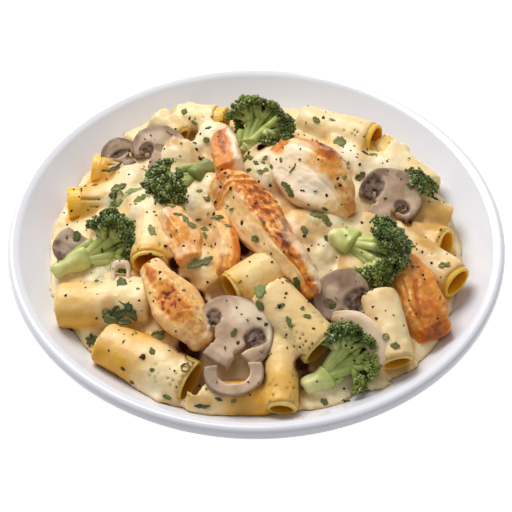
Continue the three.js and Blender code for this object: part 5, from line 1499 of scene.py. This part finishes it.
SPECKS = [
    (-87.8, 23.3, 45.0, 1.4), (-83.8, 22.2, 45.5, 1.4), (-88.3, 13.3, 40.7, 1.4), (-90.1, 7.4, 37.1, 1.5), (-29.2, 48.1, 48.1, 1.9), (-27.6, 42.3, 47.5, 2.4),
    (-16.1, 19.7, 62.1, 1.4), (-14.5, 10.3, 68.7, 1.7), (-16.4, 5.7, 64.6, 1.4), (-18.7, 1.5, 59.0, 1.4), (-44.3, 4.3, 56.1, 2.4), (-47.0, 2.7, 56.4, 1.4),
    (-47.3, -2.0, 55.8, 1.2), (-46.3, -4.2, 55.5, 1.2), (-19.1, -6.2, 58.8, 1.9), (-48.7, -11.2, 56.0, 1.4), (-19.0, -12.0, 56.1, 1.0), (-55.6, -15.1, 54.1, 1.2),
    (-58.1, -17.9, 55.7, 2.4), (-47.9, -28.3, 55.5, 1.9), (-41.4, -22.5, 54.6, 1.9), (-32.7, -27.6, 60.1, 1.4), (-18.3, -22.9, 56.3, 1.4), (-23.3, -24.9, 57.8, 1.4),
    (-27.8, -24.3, 59.8, 1.0), (-42.4, -44.7, 61.4, 1.4), (-42.1, -50.1, 62.8, 1.4), (-85.4, -46.8, 48.2, 1.4), (-61.0, -5.5, 57.4, 1.4), (-27.4, 56.6, 50.4, 1.4),
    (-17.5, 63.9, 51.7, 1.4), (-26.6, 32.5, 56.3, 2.4), (-3.4, 40.0, 53.2, 1.9), (12.8, 26.9, 68.9, 1.2), (33.9, 71.4, 47.6, 1.7), (50.3, 36.3, 49.2, 1.7),
    (42.4, 10.9, 71.3, 1.4), (64.0, 41.1, 46.7, 1.4), (37.6, 5.0, 70.6, 1.7), (38.9, 2.2, 68.8, 1.9), (32.6, 0.8, 63.7, 1.7), (21.1, 5.4, 62.3, 1.2),
    (1.4, 23.1, 50.7, 1.5), (6.7, 19.7, 51.4, 1.9), (-11.6, 0.2, 68.8, 1.9), (-16.4, 5.3, 64.4, 1.2), (-10.2, -3.9, 67.1, 1.0), (-6.4, -16.2, 63.2, 2.2),
    (-19.7, -1.2, 53.0, 1.9), (-18.7, 1.1, 58.7, 1.4), (-18.3, -22.9, 56.3, 1.7), (22.2, -16.3, 54.6, 1.9), (67.7, -27.6, 66.0, 1.4), (49.0, -7.1, 53.8, 1.9),
    (60.9, -19.0, 67.5, 1.4), (25.5, -19.1, 50.9, 1.2), (-84.1, -52.8, 31.5, 1.9), (-49.0, -80.6, 46.5, 2.7), (-35.1, -88.4, 46.6, 1.2), (-42.7, -46.1, 62.4, 1.2),
    (-8.4, -61.9, 57.5, 1.2), (0.9, -66.6, 55.7, 1.9), (4.4, -68.6, 54.0, 1.9), (-7.9, -76.8, 51.5, 1.7), (10.1, -63.1, 59.7, 2.4), (3.5, -88.2, 44.2, 1.9),
    (0.5, -26.3, 63.3, 1.4), (24.0, -21.0, 50.2, 1.9), (-6.8, -32.4, 56.6, 1.4), (13.2, -56.6, 60.8, 1.7), (24.9, -72.8, 56.3, 1.4), (13.1, -75.7, 55.7, 1.5),
    (52.5, -65.0, 53.7, 1.7), (71.6, -54.3, 44.4, 1.2), (76.5, -20.5, 48.3, 1.4), (80.2, -27.1, 48.0, 1.7), (74.0, -29.5, 47.9, 1.2), (75.8, -35.0, 48.6, 1.4),
    (76.1, -37.8, 48.9, 1.2), (-33.3, 69.5, 48.6, 1.4), (-39.8, 58.6, 51.9, 1.4), (-22.1, 67.9, 51.4, 1.2), (20.7, 21.5, 73.4, 1.2), (28.9, 13.9, 74.2, 1.2),
    (24.3, -1.0, 59.5, 1.4), (-2.7, -38.1, 60.8, 1.2), (-33.3, -61.3, 61.6, 1.2), (-52.0, -51.9, 50.6, 1.2), (-64.4, -75.3, 44.1, 1.2), (-71.1, -56.3, 43.4, 1.4),
    (-37.8, -76.9, 46.1, 1.2), (-24.1, -96.4, 46.3, 1.2), (32.4, -72.1, 54.1, 1.2), (39.0, -75.7, 48.1, 1.2), (68.7, -48.4, 46.7, 1.2), (80.9, -56.9, 44.1, 1.4),
    (60.8, -42.2, 61.3, 1.2), (54.7, -31.6, 68.4, 1.2), (-10.1, 70.1, 48.1, 1.0), (3.0, 59.5, 63.1, 1.0), (-47.6, -38.2, 60.9, 1.2), (-36.7, -30.9, 48.7, 1.4),
    (-22.1, -33.9, 42.4, 1.4), (7.2, -37.6, 60.3, 1.2), (12.5, -37.0, 66.3, 1.2), (-75.2, 16.5, 45.0, 1.2), (-72.9, 34.9, 40.4, 1.2), (-61.2, 29.3, 49.3, 1.2),
    (-44.9, 46.9, 49.3, 1.2), (-54.6, 54.1, 49.3, 1.0), (69.0, 21.1, 54.1, 1.0), (55.7, 18.1, 50.2, 1.0),
]

EYE = np.array([0.0, -489.3, 558.9])
BUILT = []


def trees():
    out = []
    for ob in BUILT:
        me = ob.data
        co = np.empty(len(me.vertices) * 3, np.float32)
        me.vertices.foreach_get("co", co)
        co = co.reshape(-1, 3) * 1000
        out.append(BVHTree.FromPolygons(co.tolist(), [tuple(q.vertices) for q in me.polygons]))
    return out


def first_hit(ts, o, d):
    best = None
    for t in ts:
        h = t.ray_cast(Vector(o), Vector(d))
        if h[0] is not None and (best is None or h[3] < best[3]):
            best = h
    return best


def blade(M, P0, along, across, nrm, L, W, curl, fold, twist, dark, rng, lobes=2.0):
    """One flake: a thin closed leaf with a folded midrib and a lobed edge."""
    nu, nv = 8, 4
    top, bot = [], []
    ph = rng.uniform(0, 6)
    for a in range(nu + 1):
        u = a / nu
        w = W / 2 * max(0.12, math.sin(math.pi * min(max(u, 0.02), 0.98)) ** 0.62) * (1 + 0.20 * math.sin(lobes * 6.28 * u + ph))
        for b in range(nv + 1):
            v = -1 + 2 * b / nv
            z = 0.35 + curl * L * (0.25 - (u - 0.5) ** 2) * 0.6 + fold * abs(v) * w * 0.7 + 0.10 * math.sin(5 * u + 3 * v + ph)
            x = (u - 0.5) * L
            y = v * w + twist * (u - 0.5) * W
            q = P0 + along * x + across * y + nrm * z
            top.append(q)
            bot.append(q - nrm * 0.24)
    n = (nu + 1) * (nv + 1)
    f = []
    for a in range(nu):
        for b in range(nv):
            i = a * (nv + 1) + b
            f.append((i, i + nv + 1, i + nv + 2, i + 1))
            f.append((n + i, n + i + 1, n + i + nv + 2, n + i + nv + 1))
    for b in range(nv):
        f.append((b, b + 1, n + b + 1, n + b))
        i = nu * (nv + 1) + b
        f.append((i + 1, i, n + i, n + i + 1))
    for a in range(nu):
        i = a * (nv + 1)
        f.append((i + nv + 1, i, n + i, n + i + nv + 1))
        i = a * (nv + 1) + nv
        f.append((i, i + nv + 1, n + i + nv + 1, n + i))
    V = np.array(top + bot)
    F = np.array(f)
    if not outward(V, F[:, :3][:0], F):
        F = F[:, ::-1]
    M.add(V, None, F, dark=dark)


def hoop(M, P0, e1, e2, nrm, L, W, dark):
    """A flake curled round into a loop."""
    n = 22
    th = np.linspace(0, 2 * math.pi, n, endpoint=False)
    rows = []
    for (k, z) in ((1.0, 0.1), (1.04, 0.9), (0.94, 1.3), (0.80, 0.9), (0.78, 0.1)):
        rows.append(P0 + e1 * (np.cos(th) * L / 2 * k)[:, None] + e2 * (np.sin(th) * W / 2 * k)[:, None] + nrm * (z + 0.25 * np.sin(2 * th))[:, None])
    V = np.vstack(rows)
    m = len(rows)
    i = np.arange(m)[:, None]
    k = np.arange(n)[None, :]
    F = np.stack([i * n + k, i * n + (k + 1) % n, ((i + 1) % m) * n + (k + 1) % n, ((i + 1) % m) * n + k], -1).reshape(-1, 4)
    if not outward(V, F[:, :3][:0], F):
        F = F[:, ::-1]
    M.add(V, None, F, dark=dark)


def herbs():
    ts = trees()
    rng = np.random.default_rng(77)
    leaves, specks = Mesh(), Mesh()

    def land(p):
        d = unit(np.array(p) - EYE)
        h = first_hit(ts, EYE, d)
        if h is None or np.linalg.norm(np.array(h[0]) - np.array(p)) > 25:
            return None
        P0, n = np.array(h[0]), unit(np.array(h[1]))
        if n @ d > 0:
            n = -n
        n = unit(n + 0.55 * FACE)
        return P0, n

    for x, y, z, L, W, ang, kind, dark in LEAVES:
        got = land((x, y, z))
        if got is None:
            continue
        P0, n = got
        a = math.radians(ang)
        e1 = ACROSS * math.cos(a) - UPHILL * math.sin(a)
        e1 = unit(e1 - n * (e1 @ n))
        e2 = np.cross(n, e1)
        if kind == "leaf":
            if L > 5.2:
                blade(leaves, P0 - e1 * L * 0.16, e1, e2, n, L * 0.70, W * 0.9, rng.uniform(-0.1, 0.25), rng.uniform(0.1, 0.5), 0.2, dark, rng)
                blade(leaves, P0 + e1 * L * 0.22 + n * 0.15, unit(e1 + 0.4 * e2), e2, n, L * 0.55, W * 0.8, rng.uniform(0, 0.3), rng.uniform(0.0, 0.4), -0.2, min(1, dark + 0.1), rng)
            else:
                blade(leaves, P0, e1, e2, n, L, W, rng.uniform(-0.1, 0.3), rng.uniform(0.0, 0.5), rng.uniform(-0.4, 0.4), dark, rng)
        elif kind == "disk":
            blade(leaves, P0, e1, e2, n, L, W * 1.05, 0.05, 0.1, 0.0, dark, rng, 3.0)
        elif kind == "ring":
            hoop(leaves, P0, e1, e2, n, L * 0.9, W * 0.9, dark)
        else:
            for k in range(6):
                b = k * 1.05 + rng.uniform(-0.3, 0.3)
                d1 = e1 * math.cos(b) + e2 * math.sin(b)
                blade(leaves, P0 + d1 * L * 0.26 + n * 0.3 * (k % 3), d1, np.cross(n, d1), n, L * 0.5, W * 0.42, 0.3, 0.3, 0, min(1, dark + rng.uniform(-0.2, 0.2)), rng)
    bv, bf = ico()

    def speck(P0, n, D, dark):
        e1 = unit(np.cross(n, unit(rng.normal(0, 1, 3))))
        e2 = np.cross(n, e1)
        q = bv * (1 + 0.28 * rng.uniform(-1, 1, (12, 1)))
        V = P0 + n * (D * 0.12) + (q[:, 0:1] * e1 * 0.62 + q[:, 1:2] * e2 * 0.44 + q[:, 2:3] * n * 0.30) * D
        specks.add(V, bf, None, dark=dark)

    for x, y, z, D in SPECKS:
        got = land((x, y, z))
        if got is not None:
            speck(got[0], got[1], D * 0.92, rng.uniform(0.3, 1))
            if D > 1.6 and rng.uniform() < 0.5:
                speck(got[0] + ACROSS * D * rng.uniform(-0.8, 0.8) + UPHILL * rng.uniform(-0.6, 0.6), got[1], D * 0.5, rng.uniform(0.2, 1))
    # finer grains and crumbs of leaf, scattered
    for k in range(330):
        r, a = 97 * math.sqrt(rng.uniform()), rng.uniform(0, 2 * math.pi)
        x, y = r * math.cos(a), r * math.sin(a) - 3
        h = first_hit(ts, (x, y, 120.0), (0, 0, -1))
        if h is None:
            continue
        n = unit(np.array(h[1]) + 0.5 * Z)
        if k % 3 == 0:
            e1 = unit(np.cross(n, unit(rng.normal(0, 1, 3))))
            blade(leaves, np.array(h[0]), e1, np.cross(n, e1), n, rng.uniform(1.0, 2.6), rng.uniform(0.5, 1.2), 0.1, 0.2, 0, rng.uniform(0.2, 0.9), rng)
        else:
            speck(np.array(h[0]), n, rng.uniform(0.5, 1.15), rng.uniform(0, 1))
    hm = herb_mat()
    leaves.build("parsley_flakes", hm, [], "herbs")
    specks.build("ground_pepper", pepper_mat(), [], "herbs")


# ------------------------------------------------------------------ stage, light and camera
def stage():
    m = Mat("floor")
    n = m.noise(2, 2)
    m.color(m.ramp(n, [(0.3, srgb(246, 246, 246)), (0.7, srgb(249, 249, 249))]))
    m.set(Roughness=0.7, Emission_Color=(1, 1, 1, 1), Emission_Strength=0.63)
    b = Mesh()
    s = 3000.0
    b.add([(-s, -s, -0.02), (s, -s, -0.02), (s, s, -0.02), (-s, s, -0.02)], None, [(0, 1, 2, 3)])
    V = np.concatenate(b.v) * MM
    me = bpy.data.meshes.new("floor")
    me.from_pydata([tuple(p) for p in V], [], [(0, 1, 2, 3)])
    me.materials.append(m.m)
    ob = bpy.data.objects.new("floor", me)
    bpy.context.scene.collection.objects.link(ob)
    ob.visible_diffuse = False

    def area(name, loc, aim, size, power, color=(1, 1, 1)):
        li = bpy.data.lights.new(name, "AREA")
        li.shape = "DISK"
        li.size = size
        li.energy = power
        li.color = color
        o = bpy.data.objects.new(name, li)
        o.location = loc
        o.rotation_euler = (Vector(aim) - Vector(loc)).to_track_quat("-Z", "Y").to_euler()
        bpy.context.scene.collection.objects.link(o)

    area("key", (-0.52, 0.92, 1.27), (0, 0, 0.03), 1.15, 27.0, (1.0, 0.99, 0.985))
    area("fill", (0.9, -0.9, 1.2), (0, 0, 0.03), 1.2, 1.2, (0.98, 0.98, 1.0))
    w = bpy.data.worlds.new("soft")
    w.use_nodes = True
    w.node_tree.nodes["Background"].inputs[0].default_value = (0.98, 0.985, 1.0, 1)
    w.node_tree.nodes["Background"].inputs[1].default_value = 0.43
    bpy.context.scene.world = w


def camera():
    d, yt, zt = 0.7, -0.01727, 0.042
    loc = Vector((0, yt - math.cos(LEAN) * d, zt + math.sin(LEAN) * d))
    cam = bpy.data.cameras.new("camera")
    cam.sensor_width = 36
    cam.lens = 1507.0 * 36 / 512
    cam.clip_start, cam.clip_end = 0.01, 20
    o = bpy.data.objects.new("camera", cam)
    o.location = loc
    o.rotation_euler = (math.pi / 2 - LEAN, 0, 0)
    bpy.context.scene.collection.objects.link(o)
    bpy.context.scene.camera = o
    bpy.context.scene.view_settings.view_transform = "Standard"


bowl()
rigatoni()
sauce()
chicken()
mushrooms()
broccoli()
herbs()
stage()
camera()
